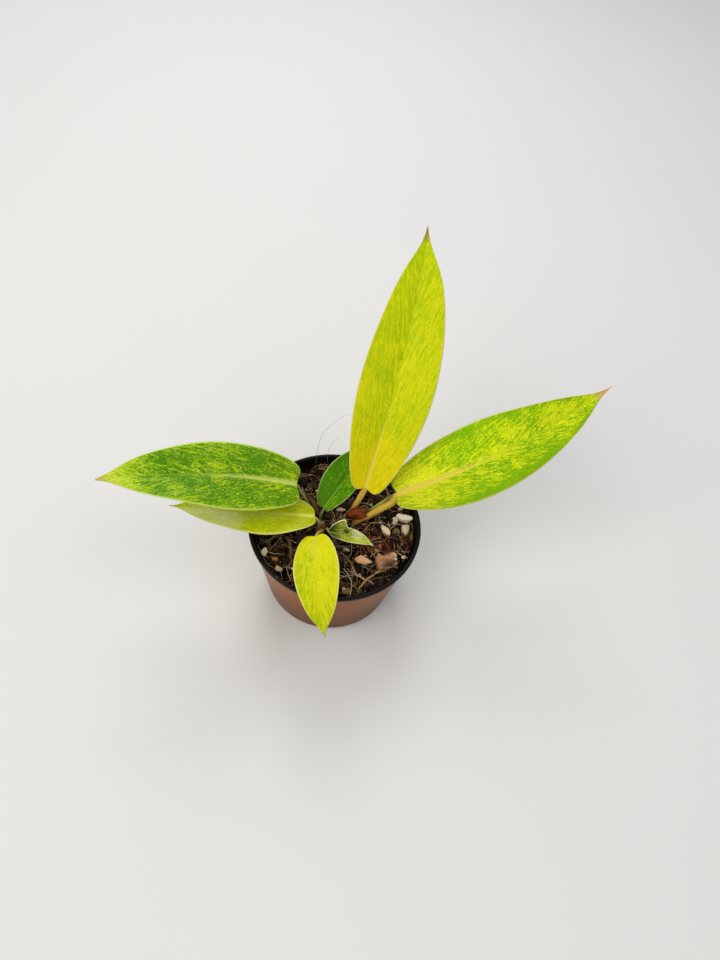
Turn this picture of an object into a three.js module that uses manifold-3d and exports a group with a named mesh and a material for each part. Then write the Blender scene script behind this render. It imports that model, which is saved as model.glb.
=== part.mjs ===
// A young philodendron with seven painted leaves on two short stems, in a round plastic nursery pot.
// Lengths are in millimetres and angles in degrees. The origin is the centre of the pot's underside,
// +Z is up and the front of the plant faces -Y.

import * as THREE from "three";
import { mergeVertices } from "three/addons/utils/BufferGeometryUtils.js";
import Module from "manifold-3d";

const wasm = await Module();
wasm.setup();

// Driving dimensions of the pot
const POT = {
  height: 54,
  rimRadius: 45,
  rimHeight: 2.2,
  topRadius: 44.2,
  baseRadius: 34.5,
  wall: 1,
  floor: 2.4,
  discRadius: 12,
  channelOuter: 27.5,
  channelHeight: 1.2,
  channelSlope: 1.5,
  footOuter: 32.5,
  cornerRise: 2.6,
  sides: 48,
};
const DRAIN = { count: 6, radius: 3.2, circle: 20.5, sides: 16 };

// Clearance between pieces that touch on the real plant
const FIT = 0.35;

// Driving dimensions of the potting mix
const MIX = { level: 48.4, mound: 1.4, relief: 0.45, rings: 9 };

// Stones seen on the mix: place, length, width, height, turn
const STONES = [
  { x: 36.4, y: 11, length: 9, width: 3.8, height: 4, turn: -8 },
  { x: 31.6, y: 8.4, length: 5.4, width: 4.8, height: 4.4, turn: 60 },
  { x: 37, y: 3.6, length: 8, width: 5.2, height: 5, turn: 80 },
  { x: 26.1, y: 1.6, length: 9.4, width: 5.8, height: 5.4, turn: 120 },
  { x: 32.6, y: 1.6, length: 4.8, width: 4.4, height: 3.6, turn: 20 },
  { x: 17, y: -18.4, length: 9.2, width: 5, height: 4.2, turn: -12 },
  { x: 9.8, y: -36.4, length: 5.6, width: 3.4, height: 3, turn: 15 },
  { x: 2.2, y: 10.8, length: 5.2, width: 2.6, height: 2.8, turn: 5 },
  { x: -33.6, y: -20, length: 5.6, width: 5, height: 5, turn: 70 },
  { x: -27.8, y: -23.6, length: 3.9, width: 3.5, height: 3.2, turn: 10 },
  { x: 34.2, y: 16.6, length: 4.4, width: 3.4, height: 3, turn: 30 },
];

// The large bark chip at the front right: place, length, width, height, turn, tilt
const BARK = { x: 28.6, y: -17.6, length: 11.4, width: 7.6, height: 5, turn: 24, tilt: 14 };

// Thick roots and fibres seen on the mix, each from one place to another, with its bow sideways
const ROOTS = [
  { from: [-24, -9], to: [-20, -28], bow: 1.5, radius: 0.8 },
  { from: [-27.5, -24.6], to: [-16, -22.4], bow: -1.2, radius: 0.6 },
  { from: [15, -35], to: [35, -18.5], bow: 2.5, radius: 0.6 },
  { from: [4, -15], to: [12, -30], bow: 3, radius: 0.5 },
  { from: [20, -12], to: [40, -2], bow: 3, radius: 0.6 },
  { from: [22, -4], to: [31, -14], bow: -2, radius: 0.5 },
  { from: [-19, 20], to: [-15, 33], bow: 4, radius: 0.5 },
  { from: [-14, 36], to: [3, 39.5], bow: 1.5, radius: 0.6 },
  { from: [-36, 4], to: [-24, 15], bow: 2, radius: 0.55 },
  { from: [20, 24], to: [32, 27], bow: -2, radius: 0.5 },
];

// Loose pieces spread over the rest of the mix, by one seeded draw for their places and sizes and
// another for their dents. They keep clear of the crowns' middle.
const SCATTER = { seed: 90210, dents: 417, clear: 14, reach: 38.5, crowns: { x: 3, y: 2 } };

// Sizes of the loose pieces, from the least to the most. Widths and heights are shares of the length.
const LOOSE = {
  stone: { count: 14, length: [2.6, 5], width: [0.6, 1], height: 0.7 },
  chip: { count: 20, length: [3.5, 7.5], width: [0.4, 0.8], height: 0.4, tilt: [-20, 20] },
  fibre: { count: 9, length: [8, 16], bow: [-2.5, 2.5], radius: 0.45 },
};

// How high a stone's and a chip's middle lie over the mix, and how deep a fibre's ends are buried in
// it, as shares of their height and radius
const SEAT = { stone: 0.17, chip: 0.12, fibre: 1.8 };

// Seeded dents: a stone's points move in and out, and a chip's corners move in
const DENTS = { stone: [0.9, 1.1], chip: [0.72, 1] };

// One outline serves every blade. Places along it are shares of the blade's length. A leaf may have
// its own taper, lobe or drip.
const OUTLINE = { taper: 0.9, lobe: 0.045, lobeAt: 0.05, drip: 0.65, dripReach: 0.11 };

// The blade is thickest at the midrib
const BLADE = { middle: 0.8, edge: 0.6, halfColumns: 3, spineSteps: 80 };

// Sections of the stalks, the short stems and the midribs. The midrib starts at a share of the
// stalk's radius and is seated in the blade by a share of its own.
const STALK = { sides: 7, stemSides: 9, strandSides: 4, stepsPerPoint: 2 };
const RIB = { share: 0.8, spacing: 24, start: 0.8, tip: 0.4, seat: 0.85 };

// Leaves. heading is the way the blade grows, seen from above, from +X towards +Y, and turns by bend
// on the way to the tip. pitch and roll run from the base to the tip. left and right are half widths,
// fold lifts both halves from the midrib, and widest is where along the blade it is widest. The last
// two are the dried sheaths at the foot of the young growth, which have the shape of small leaves.
const LEAVES = [
  {
    name: "leaf_tall",
    base: [13, 11.2, 72],
    heading: 76,
    bend: 17,
    bendPower: 2,
    pitch: [52, 40],
    roll: [5, 2],
    length: 132.5,
    left: 18.3,
    right: 20,
    fold: 11,
    widest: 0.41,
    ripple: 0.5,
    waves: 2.5,
    ribs: 24,
    stalk: [[7.2, 9.5, 41], [7.2, 9.5, 48], [8.2, 9.9, 53], [9.5, 10, 58], [11.2, 10.2, 65]],
    stalkRadius: [1.2, 1.7],
    colour: "#bfc914",
  },
  {
    name: "leaf_right",
    base: [29.8, 13.3, 68],
    heading: 16.5,
    bend: 20,
    bendPower: 1,
    pitch: [19.5, 25.5],
    roll: [11, 12],
    length: 123.5,
    left: 21.3,
    right: 20.3,
    fold: 11,
    widest: 0.36,
    taper: 1.12,
    ripple: 0.5,
    waves: 2.5,
    ribs: 24,
    stalk: [
      [9.4, 3.9, 41],
      [9.4, 3.9, 47.6],
      [12.6, 4, 53],
      [16.9, 4.8, 56.8],
      [22.6, 7, 61.2],
      [28, 9.6, 65],
    ],
    stalkRadius: [1.5, 1.9],
    colour: "#afc712",
  },
  {
    name: "leaf_upper_left",
    base: [-22, 8, 72],
    heading: 194.5,
    bend: 3,
    bendPower: 1,
    pitch: [24, -1],
    roll: [-19, 3],
    length: 97.5,
    left: 19.6,
    right: 17.6,
    fold: 13,
    widest: 0.37,
    taper: 0.8,
    drip: 0.5,
    ripple: 0.5,
    waves: 2,
    ribs: 22,
    stalk: [
      [-10.9, 2.4, 41],
      [-10.9, 2.4, 48],
      [-12.2, 5.2, 51.2],
      [-14.6, 8.1, 54.4],
      [-17.6, 9.6, 59],
      [-20, 9.6, 64.5],
    ],
    stalkRadius: [1, 0.8],
    colour: "#75a127",
  },
  {
    name: "leaf_lower_left",
    base: [-10.9, -2.2, 60],
    heading: 191.5,
    bend: -8,
    bendPower: 1,
    pitch: [11, 1],
    roll: [7, -1],
    length: 73,
    left: 14.6,
    right: 14.4,
    fold: 11,
    widest: 0.37,
    taper: 1.12,
    lobe: 0.03,
    ripple: 0.4,
    waves: 2,
    ribs: 18,
    stalk: [[-8.6, -3.2, 41], [-8.6, -3.2, 49], [-8.2, -3.7, 54.6], [-8.9, -3.5, 58.4]],
    stalkRadius: [1.1, 0.8],
    colour: "#a8b242",
  },
  {
    name: "leaf_back_small",
    base: [-6.9, 6.7, 55.8],
    heading: 54,
    bend: 1,
    bendPower: 1,
    pitch: [36, 26],
    roll: [0, 8],
    length: 42,
    left: 11.3,
    right: 8.4,
    fold: 12,
    widest: 0.42,
    drip: 0.5,
    ripple: 0.2,
    waves: 2,
    ribs: 14,
    stalk: [[-8.1, 3, 41], [-8.1, 3, 49], [-8, 4.2, 52.6]],
    stalkRadius: [1, 0.75],
    colour: "#4d760a",
  },
  {
    name: "leaf_front",
    base: [-9.3, -14.2, 60],
    heading: -84,
    bend: 13,
    bendPower: 1,
    pitch: [19.5, -26],
    roll: [16, 11],
    length: 55,
    left: 11.5,
    right: 11.3,
    fold: 9,
    widest: 0.39,
    ripple: 0.3,
    waves: 2,
    ribs: 16,
    stalk: [[-5.9, -3.7, 41], [-5.9, -3.7, 49], [-6.5, -6.8, 54.2], [-8.1, -11, 58.2]],
    stalkRadius: [1.1, 0.8],
    colour: "#cbcf11",
  },
  {
    name: "leaf_torn",
    base: [-2.3, -7.4, 55],
    heading: -0.5,
    bend: -12,
    bendPower: 1,
    pitch: [12, -28],
    roll: [26, 12],
    length: 24.6,
    left: 8.5,
    right: 4.2,
    fold: 20,
    widest: 0.42,
    taper: 1.1,
    lobe: 0.03,
    drip: 0.35,
    ripple: 0.2,
    waves: 1.5,
    ribs: 20,
    tear: { at: 0.27, fall: 0.1, depth: 0.56 },
    stalk: [[-3.9, -1.8, 41], [-3.9, -1.8, 49], [-3.5, -4.2, 52.8]],
    stalkRadius: [0.9, 0.6],
    hole: { along: 0.34, across: 1.5, length: 3.2, width: 1.9 },
    colour: "#8fae3c",
  },
  {
    name: "sheath_brown",
    base: [-10, 6.7, 51.6],
    heading: 144,
    bend: 4,
    bendPower: 1,
    pitch: [52, 44],
    roll: [12, 0],
    length: 13,
    left: 2.4,
    right: 2.2,
    fold: 24,
    widest: 0.35,
    ripple: 0,
    waves: 1,
    ribs: 8,
    stalk: [[-9.4, 6.3, 43], [-9.4, 6.3, 47], [-9.5, 6.4, 49.4]],
    stalkRadius: [0.9, 0.7],
    colour: "#8a6a45",
  },
  {
    name: "cataphyll_red",
    base: [4.9, 5.6, 54.2],
    heading: 3,
    bend: 8,
    bendPower: 1,
    pitch: [14, 2],
    roll: [26, 30],
    length: 10.6,
    left: 2.2,
    right: 1.25,
    fold: -22,
    widest: 0.5,
    taper: 0.6,
    drip: 0.2,
    ripple: 0,
    waves: 1,
    ribs: 8,
    stalk: [[4.9, 4.9, 43], [4.9, 4.9, 47], [4.5, 5.2, 50.8]],
    stalkRadius: [0.7, 0.6],
    colour: "#8a3f1c",
  },
];

// Short stems, each a path with the radius at each point
const STEMS = [
  {
    name: "stem_left",
    path: [[-6.9, -0.2, 41], [-6.9, -0.2, 47], [-6.8, -0.1, 50], [-6.6, 0.1, 52]],
    radii: [1.8, 2, 1.8, 1],
    colour: "#6d5a34",
  },
  {
    name: "stem_right",
    path: [[11.3, 12, 41], [11.3, 12, 46], [11.3, 12, 48.8], [11.4, 12, 50.3]],
    radii: [1.6, 1.8, 1.6, 0.9],
    colour: "#7c5a34",
  },
  {
    name: "young_shoot",
    path: [
      [13.2, 8.4, 41],
      [13.2, 8.4, 48],
      [16.4, 8.8, 53.5],
      [20.2, 10.6, 57],
      [24.5, 13, 60.5],
      [29, 15.6, 64.2],
    ],
    radii: [1.2, 1.4, 1.3, 1.2, 1, 0.5],
    colour: "#8c8a3a",
  },
];

const rad = THREE.MathUtils.degToRad;

// A repeatable draw between 0 and 1
function makeDraw(seed) {
  const modulus = 2147483647;
  const factor = 16807;
  let state = seed % modulus;
  return () => {
    state = (state * factor) % modulus;
    return state / modulus;
  };
}

// A draw between two values
const between = (draw, [low, high]) => THREE.MathUtils.lerp(low, high, draw());

// Welds a geometry's vertices, drops triangles without area and turns its faces outwards
function closedGeometry(geometry) {
  const bare = geometry.clone();
  bare.deleteAttribute("normal");
  bare.deleteAttribute("uv");
  const welded = mergeVertices(bare, 1e-4);
  const place = welded.attributes.position;
  const corner = [new THREE.Vector3(), new THREE.Vector3(), new THREE.Vector3()];
  const kept = [];
  let volume = 0;
  for (let i = 0; i < welded.index.count; i += 3) {
    const face = [0, 1, 2].map((k) => welded.index.getX(i + k));
    if (new Set(face).size < 3) continue;
    face.forEach((v, k) => corner[k].fromBufferAttribute(place, v));
    volume += corner[0].dot(corner[1].clone().cross(corner[2]));
    kept.push(face);
  }
  const outwards = kept.map(([a, b, c]) => (volume < 0 ? [a, c, b] : [a, b, c]));
  welded.setIndex(outwards.flat());
  return welded;
}

// A geometry as a solid that can be joined and cut
function toSolid(geometry) {
  const closed = closedGeometry(geometry);
  const vertProperties = new Float32Array(closed.attributes.position.array);
  const triVerts = new Uint32Array(closed.index.array);
  return new wasm.Manifold(new wasm.Mesh({ numProp: 3, vertProperties, triVerts }));
}

// The largest body of a solid as a geometry: loose scraps and sealed hollows are left out
function toGeometry(solid) {
  const mesh = solid.getMesh();
  const points = mesh.vertProperties;
  const leader = Array.from({ length: points.length / 3 }, (_, i) => i);
  const find = (i) => {
    let root = i;
    while (leader[root] !== root) root = leader[root];
    leader[i] = root;
    return root;
  };
  const faces = [];
  for (let i = 0; i < mesh.triVerts.length; i += 3) {
    const face = [...mesh.triVerts.slice(i, i + 3)];
    faces.push(face);
    leader[find(face[1])] = find(face[0]);
    leader[find(face[2])] = find(face[0]);
  }
  const at = (v) => new THREE.Vector3(points[3 * v], points[3 * v + 1], points[3 * v + 2]);
  const volumes = new Map();
  for (const face of faces) {
    const [a, b, c] = face.map(at);
    const body = find(face[0]);
    volumes.set(body, (volumes.get(body) ?? 0) + a.dot(b.cross(c)));
  }
  const largest = [...volumes].reduce((best, entry) => (entry[1] > best[1] ? entry : best))[0];
  const geometry = new THREE.BufferGeometry();
  geometry.setAttribute("position", new THREE.BufferAttribute(new Float32Array(points), 3));
  geometry.setIndex(faces.filter((face) => find(face[0]) === largest).flat());
  return geometry;
}

// A closed geometry from points and faces
function meshOf(points, faces) {
  const geometry = new THREE.BufferGeometry();
  const values = new Float32Array(points.flatMap((p) => [p.x, p.y, p.z]));
  geometry.setAttribute("position", new THREE.BufferAttribute(values, 3));
  geometry.setIndex(faces.flat());
  return closedGeometry(geometry);
}

// A round stalk along a smooth path that starts straight up, with its own radius at each point of
// the path, and grown at its foot and sides
function stalkGeometry(path, radii, sides, grow = 0) {
  const foot = path[0].clone().setZ(path[0].z - grow);
  const curve = new THREE.CatmullRomCurve3([foot, ...path.slice(1)]);
  const steps = (path.length - 1) * STALK.stepsPerPoint;
  const side = new THREE.Vector3(1, 0, 0);
  const points = [];
  for (let i = 0; i <= steps; i += 1) {
    const share = i / steps;
    const tangent = curve.getTangent(share);
    side.addScaledVector(tangent, -side.dot(tangent)).normalize();
    const other = tangent.clone().cross(side);
    const spot = Math.min(share * (path.length - 1), path.length - 1 - 1e-9);
    const before = Math.floor(spot);
    const radius = THREE.MathUtils.lerp(radii[before], radii[before + 1], spot - before) + grow;
    for (let k = 0; k < sides; k += 1) {
      const turn = (2 * Math.PI * k) / sides;
      const point = curve.getPoint(share).addScaledVector(side, radius * Math.cos(turn));
      points.push(point.addScaledVector(other, radius * Math.sin(turn)));
    }
  }
  const faces = [];
  for (let i = 0; i < steps; i += 1) {
    for (let k = 0; k < sides; k += 1) {
      const a = i * sides + k;
      const b = i * sides + ((k + 1) % sides);
      faces.push([a, b, b + sides], [a, b + sides, a + sides]);
    }
  }
  const ends = [points.length, points.length + 1];
  points.push(foot, path[path.length - 1].clone());
  for (let k = 0; k < sides; k += 1) {
    const next = (k + 1) % sides;
    faces.push([ends[0], next, k]);
    faces.push([ends[1], steps * sides + k, steps * sides + next]);
  }
  return meshOf(points, faces);
}

const vectors = (path) => path.map((p) => new THREE.Vector3(...p));

// The pot's outside radius at a height
function potRadius(z) {
  return POT.baseRadius + ((POT.topRadius - POT.baseRadius) * z) / POT.height;
}

// Thin tapered wall with a beaded rim, standing on a disc and a foot ring with a channel between
function makePot() {
  const rimFoot = POT.height - POT.rimHeight;
  const edge = 0.4;
  const inner = (z) => potRadius(z) - POT.wall;
  const profile = [
    [0, 0],
    [POT.discRadius, 0],
    [POT.discRadius + POT.channelSlope, POT.channelHeight],
    [POT.channelOuter, POT.channelHeight],
    [POT.channelOuter + POT.channelSlope, 0],
    [POT.footOuter, 0],
    [potRadius(0) - 0.5, 0.6],
    [potRadius(POT.cornerRise), POT.cornerRise],
    [potRadius(rimFoot), rimFoot],
    [POT.rimRadius, rimFoot + edge],
    [POT.rimRadius, POT.height - edge],
    [POT.rimRadius - edge, POT.height],
    [inner(POT.height) + edge, POT.height],
    [inner(POT.height), POT.height - edge],
    [inner(POT.floor + POT.cornerRise), POT.floor + POT.cornerRise],
    [inner(POT.floor) - POT.cornerRise / 2, POT.floor],
    [0, POT.floor],
  ];
  const lathe = new THREE.LatheGeometry(
    profile.map(([r, z]) => new THREE.Vector2(r, z)),
    POT.sides,
  );
  lathe.rotateX(Math.PI / 2);
  let pot = toSolid(lathe);
  for (let i = 0; i < DRAIN.count; i += 1) {
    const drill = new THREE.CylinderGeometry(DRAIN.radius, DRAIN.radius, 4 * POT.floor, DRAIN.sides);
    drill.rotateX(Math.PI / 2);
    drill.translate(DRAIN.circle, 0, 0);
    drill.rotateZ((2 * Math.PI * (i + 0.5)) / DRAIN.count);
    pot = pot.subtract(toSolid(drill));
  }
  return toGeometry(pot);
}

// Height of the mix's surface: a low mound with crumbs on it
function mixHeight(x, y) {
  const share = Math.min(1, Math.hypot(x, y) / potRadius(MIX.level));
  const crumbs = Math.sin(0.55 * x + 0.8) * Math.cos(0.47 * y - 0.4);
  const grit = Math.sin(1.1 * x - 0.9 * y + 2) * Math.cos(0.7 * x + 1.3 * y);
  return MIX.level + MIX.mound * (1 - share * share) + MIX.relief * (crumbs + grit);
}

// The room inside the pot, a clearance from its wall and floor and open above
function insideOfPot() {
  const bottom = POT.floor + FIT;
  const above = POT.height + 10;
  const reach = (z) => potRadius(z) - POT.wall - FIT;
  const profile = [
    [0, bottom],
    [reach(bottom) - POT.cornerRise, bottom],
    [reach(bottom + POT.cornerRise + 1), bottom + POT.cornerRise + 1],
    [reach(above), above],
    [0, above],
  ];
  const lathe = new THREE.LatheGeometry(
    profile.map(([r, z]) => new THREE.Vector2(r, z)),
    POT.sides,
  );
  lathe.rotateX(Math.PI / 2);
  return toSolid(lathe);
}

// The body of the mix up to its surface, before the pot's inside trims it
function mixBody() {
  const sides = POT.sides;
  const points = [];
  const faces = [];
  const ring = (reach, heightOf) => {
    for (let k = 0; k < sides; k += 1) {
      const turn = (2 * Math.PI * k) / sides;
      const x = reach * Math.cos(turn);
      const y = reach * Math.sin(turn);
      points.push(new THREE.Vector3(x, y, heightOf(x, y)));
    }
  };
  const bottom = 0;
  ring(POT.rimRadius, () => bottom);
  for (let i = 0; i < MIX.rings; i += 1) ring(POT.rimRadius * (1 - i / MIX.rings), mixHeight);
  const rings = points.length / sides;
  for (let i = 0; i < rings - 1; i += 1) {
    for (let k = 0; k < sides; k += 1) {
      const a = i * sides + k;
      const b = i * sides + ((k + 1) % sides);
      faces.push([a, b, b + sides], [a, b + sides, a + sides]);
    }
  }
  const ends = [points.length, points.length + 1];
  points.push(new THREE.Vector3(0, 0, bottom), new THREE.Vector3(0, 0, mixHeight(0, 0)));
  const last = (rings - 1) * sides;
  for (let k = 0; k < sides; k += 1) {
    const next = (k + 1) % sides;
    faces.push([ends[0], next, k], [ends[1], last + k, last + next]);
  }
  return toSolid(meshOf(points, faces));
}

// A stone: a rounded lump with seeded dents, sunk a third into the mix
function stoneSolid({ x, y, length, width, height, turn }, draw, detail) {
  const ball = closedGeometry(new THREE.IcosahedronGeometry(0.5, detail));
  const place = ball.attributes.position;
  for (let i = 0; i < place.count; i += 1) {
    const swell = between(draw, DENTS.stone);
    place.setXYZ(i, place.getX(i) * swell, place.getY(i) * swell, place.getZ(i) * swell);
  }
  ball.scale(length, width, height);
  ball.rotateZ(rad(turn));
  ball.translate(x, y, mixHeight(x, y) + SEAT.stone * height);
  return toSolid(ball);
}

// A chip of bark or coconut husk: a block with seeded corners, tilted and sunk into the mix
function chipSolid({ x, y, length, width, height, turn, tilt }, draw) {
  const block = closedGeometry(new THREE.BoxGeometry(1, 1, 1));
  const place = block.attributes.position;
  for (let i = 0; i < place.count; i += 1) {
    const pinch = [1, 1, 1].map(() => between(draw, DENTS.chip));
    place.setXYZ(i, place.getX(i) * pinch[0], place.getY(i) * pinch[1], place.getZ(i) * pinch[2]);
  }
  block.scale(length, width, height);
  block.rotateY(rad(tilt));
  block.rotateZ(rad(turn));
  block.translate(x, y, mixHeight(x, y) + SEAT.chip * height);
  return toSolid(block);
}

// A root or fibre lying half sunk on the mix
function strandSolid({ from, to, bow, radius }) {
  const path = [];
  const span = 3;
  const length = Math.hypot(to[0] - from[0], to[1] - from[1]);
  for (let i = 0; i <= span; i += 1) {
    const share = i / span;
    const aside = (bow * Math.sin(Math.PI * share)) / length;
    const x = THREE.MathUtils.lerp(from[0], to[0], share) - aside * (to[1] - from[1]);
    const y = THREE.MathUtils.lerp(from[1], to[1], share) + aside * (to[0] - from[0]);
    const sink = i === 0 || i === span ? SEAT.fibre : 0;
    path.push(new THREE.Vector3(x, y, mixHeight(x, y) - sink * radius));
  }
  return toSolid(stalkGeometry(path, path.map(() => radius), STALK.strandSides));
}

const nearCrowns = (x, y) => Math.hypot(x - SCATTER.crowns.x, y - SCATTER.crowns.y) < SCATTER.clear;

// A place for a loose piece, clear of the crowns and of the pot's wall
function scatterPlace(draw) {
  const reach = SCATTER.reach * Math.sqrt(draw());
  const turn = 2 * Math.PI * draw();
  const x = reach * Math.cos(turn);
  const y = reach * Math.sin(turn);
  return nearCrowns(x, y) ? scatterPlace(draw) : { x, y };
}

// A fibre of the mix, or nothing where it would reach the crowns or the wall
function scatterFibre(draw) {
  const start = scatterPlace(draw);
  const turn = 2 * Math.PI * draw();
  const length = between(draw, LOOSE.fibre.length);
  const end = [start.x + length * Math.cos(turn), start.y + length * Math.sin(turn)];
  const bow = between(draw, LOOSE.fibre.bow);
  const outside = Math.hypot(...end) > SCATTER.reach;
  if (outside || nearCrowns(...end)) return null;
  return { from: [start.x, start.y], to: end, bow, radius: LOOSE.fibre.radius };
}

// A loose stone's or chip's length, width and height
function looseShape({ length, width, height }, draw) {
  const size = between(draw, length);
  return { length: size, width: size * between(draw, width), height: size * height };
}

// The mix with everything that lies on it, and plain holes for what stands in it
function makeMix(standing) {
  const draw = makeDraw(SCATTER.seed);
  const dents = makeDraw(SCATTER.dents);
  let mix = mixBody();
  for (const stone of STONES) mix = mix.add(stoneSolid(stone, dents, 1));
  mix = mix.add(chipSolid(BARK, dents));
  for (const root of ROOTS) mix = mix.add(strandSolid(root));
  for (let i = 0; i < LOOSE.stone.count; i += 1) {
    const shape = looseShape(LOOSE.stone, draw);
    const stone = { ...shape, ...scatterPlace(draw), turn: 180 * draw() };
    mix = mix.add(stoneSolid(stone, dents, 0));
  }
  for (let i = 0; i < LOOSE.chip.count; i += 1) {
    const shape = looseShape(LOOSE.chip, draw);
    const place = scatterPlace(draw);
    const chip = { ...shape, ...place, turn: 180 * draw(), tilt: between(draw, LOOSE.chip.tilt) };
    mix = mix.add(chipSolid(chip, dents));
  }
  for (let i = 0; i < LOOSE.fibre.count; i += 1) {
    const fibre = scatterFibre(draw);
    if (fibre) mix = mix.add(strandSolid(fibre));
  }
  mix = mix.intersect(insideOfPot());
  for (const cutter of standing) mix = mix.subtract(cutter);
  return toGeometry(mix);
}

// The midrib's line through space, and the blade's directions on it
class Spine {
  constructor(leaf) {
    this.leaf = leaf;
    this.points = [new THREE.Vector3(...leaf.base)];
    for (let i = 0; i < BLADE.spineSteps; i += 1) {
      const { along } = this.directions((i + 0.5) / BLADE.spineSteps);
      const step = leaf.length / BLADE.spineSteps;
      this.points.push(this.points[i].clone().addScaledVector(along, step));
    }
  }

  // Unit vectors along the midrib, across to its left, and out of the upper face
  directions(place) {
    const { heading, bend, bendPower, pitch, roll } = this.leaf;
    const share = THREE.MathUtils.clamp(place, 0, 1);
    const turn = rad(heading + bend * share ** bendPower);
    const rise = rad(THREE.MathUtils.lerp(pitch[0], pitch[1], share));
    const tilt = rad(THREE.MathUtils.lerp(roll[0], roll[1], share));
    const flat = Math.cos(rise);
    const along = new THREE.Vector3(flat * Math.cos(turn), flat * Math.sin(turn), Math.sin(rise));
    const level = new THREE.Vector3(-Math.sin(turn), Math.cos(turn), 0);
    const upright = along.clone().cross(level);
    const across = level.clone().multiplyScalar(Math.cos(tilt));
    across.addScaledVector(upright, Math.sin(tilt));
    return { along, across, out: along.clone().cross(across) };
  }

  // The midrib's point at a share of the length, run straight on before the base
  point(place) {
    const spot = THREE.MathUtils.clamp(place, 0, 1 - 1e-9) * BLADE.spineSteps;
    const before = Math.floor(spot);
    const found = this.points[before].clone().lerp(this.points[before + 1], spot - before);
    const behind = Math.min(place, 0) * this.leaf.length;
    return found.addScaledVector(this.directions(place).along, behind);
  }

  // A point of the blade: a share along it, and millimetres across it and out of it
  blade(place, across, out) {
    const { left, right, fold, ripple, waves } = this.leaf;
    const way = this.directions(place);
    const half = Math.max(left, right);
    const share = Math.abs(across) / half;
    const lift = Math.abs(across) * Math.tan(rad(fold)) * (1 - 0.4 * share);
    const phase = 2 * Math.PI * waves * place + (across > 0 ? 0 : 1.7);
    const wave = ripple * share * share * Math.sin(phase);
    const found = this.point(place).addScaledVector(way.across, across * Math.cos(rad(fold)));
    return found.addScaledVector(way.out, lift + wave + out);
  }
}

// The share of its width that a torn left edge keeps: all before the tear, less beyond it
function keptAt(t, tear) {
  if (!tear) return 1;
  return 1 - tear.depth * THREE.MathUtils.smoothstep(t, tear.at, tear.at + tear.fall);
}

// The blade's edge: how far along it is, and the share of the half width there
function outlineAt(t, leaf) {
  const { widest, taper, lobe, lobeAt, drip, dripReach } = { ...OUTLINE, ...leaf };
  const rise = (taper * widest) / (1 - widest);
  const full = widest ** rise * (1 - widest) ** taper;
  const narrowed = 1 - drip * Math.exp(-(((1 - t) / dripReach) ** 2));
  return {
    place: t - lobe * (t / lobeAt) * Math.exp(1 - t / lobeAt),
    width: ((t ** rise * (1 - t) ** taper) / full) * narrowed,
  };
}

// The flat blade between its edges, with ribs that fan out of the midrib, given its thickness
function bladeGeometry(leaf, spine) {
  const { ribs, left, right } = leaf;
  const columns = 2 * BLADE.halfColumns;
  const half = Math.max(left, right);
  const points = [];
  const faces = [];
  const addPair = (place, across) => {
    const edge = Math.abs(across) / half;
    const thick = THREE.MathUtils.lerp(BLADE.middle, BLADE.edge, edge) / 2;
    points.push(spine.blade(place, across, thick), spine.blade(place, across, -thick));
  };
  addPair(0, 0);
  for (let i = 1; i < ribs; i += 1) {
    const even = i / ribs;
    const t = 0.4 * even + 0.3 * (1 - Math.cos(Math.PI * even));
    const edge = outlineAt(t, leaf);
    for (let j = 0; j <= columns; j += 1) {
      const share = (j - BLADE.halfColumns) / BLADE.halfColumns;
      const width = share > 0 ? left * keptAt(t, leaf.tear) : right;
      const place = THREE.MathUtils.lerp(t, edge.place, Math.abs(share));
      addPair(place, share * width * edge.width);
    }
  }
  addPair(1, 0);
  const last = points.length / 2 - 1;
  const at = (i, j) => (i === 0 ? 0 : i === ribs ? last : 1 + (i - 1) * (columns + 1) + j);
  // Both faces use the same triangles, so they never cross
  const addFace = (a, b, c) => {
    faces.push([2 * a, 2 * b, 2 * c], [2 * a + 1, 2 * c + 1, 2 * b + 1]);
  };
  const addEdge = (a, b) => {
    faces.push([2 * a, 2 * b, 2 * b + 1], [2 * a, 2 * b + 1, 2 * a + 1]);
  };
  for (let i = 0; i < ribs; i += 1) {
    for (let j = 0; j < columns; j += 1) {
      if (i > 0) addFace(at(i, j), at(i + 1, j), at(i, j + 1));
      if (i < ribs - 1) addFace(at(i, j + 1), at(i + 1, j), at(i + 1, j + 1));
    }
    addEdge(at(i, columns), at(i + 1, columns));
    addEdge(at(i + 1, 0), at(i, 0));
  }
  return meshOf(points, faces);
}

// A leaf's stalk from its foot in the mix up to the blade, run on under the blade as its midrib
function stalkSolid(leaf, spine, grow = 0) {
  const path = vectors(leaf.stalk);
  const [foot, head] = leaf.stalkRadius;
  const radii = path.map((_, i) => THREE.MathUtils.lerp(foot, head, i / path.length));
  const ribPoints = Math.ceil(leaf.length / RIB.spacing);
  for (let i = 0; i <= ribPoints; i += 1) {
    const share = i / ribPoints;
    const radius = THREE.MathUtils.lerp(RIB.start * head, RIB.tip, share);
    const place = RIB.share * share;
    const { out } = spine.directions(place);
    path.push(spine.point(place).addScaledVector(out, -RIB.seat * radius));
    radii.push(radius);
  }
  return toSolid(stalkGeometry(path, radii, STALK.sides, grow));
}

// A small round hole through a blade
function holeSolid(leaf, spine) {
  const { along, across, length, width } = leaf.hole;
  const depth = 6;
  const sides = 10;
  const drill = new THREE.CylinderGeometry(0.5, 0.5, depth, sides);
  drill.scale(length, 1, width);
  const way = spine.directions(along);
  const turn = new THREE.Matrix4().makeBasis(way.along, way.out, way.across);
  drill.applyMatrix4(turn);
  const centre = spine.blade(along, across, 0);
  drill.translate(centre.x, centre.y, centre.z);
  return toSolid(drill);
}

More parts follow.
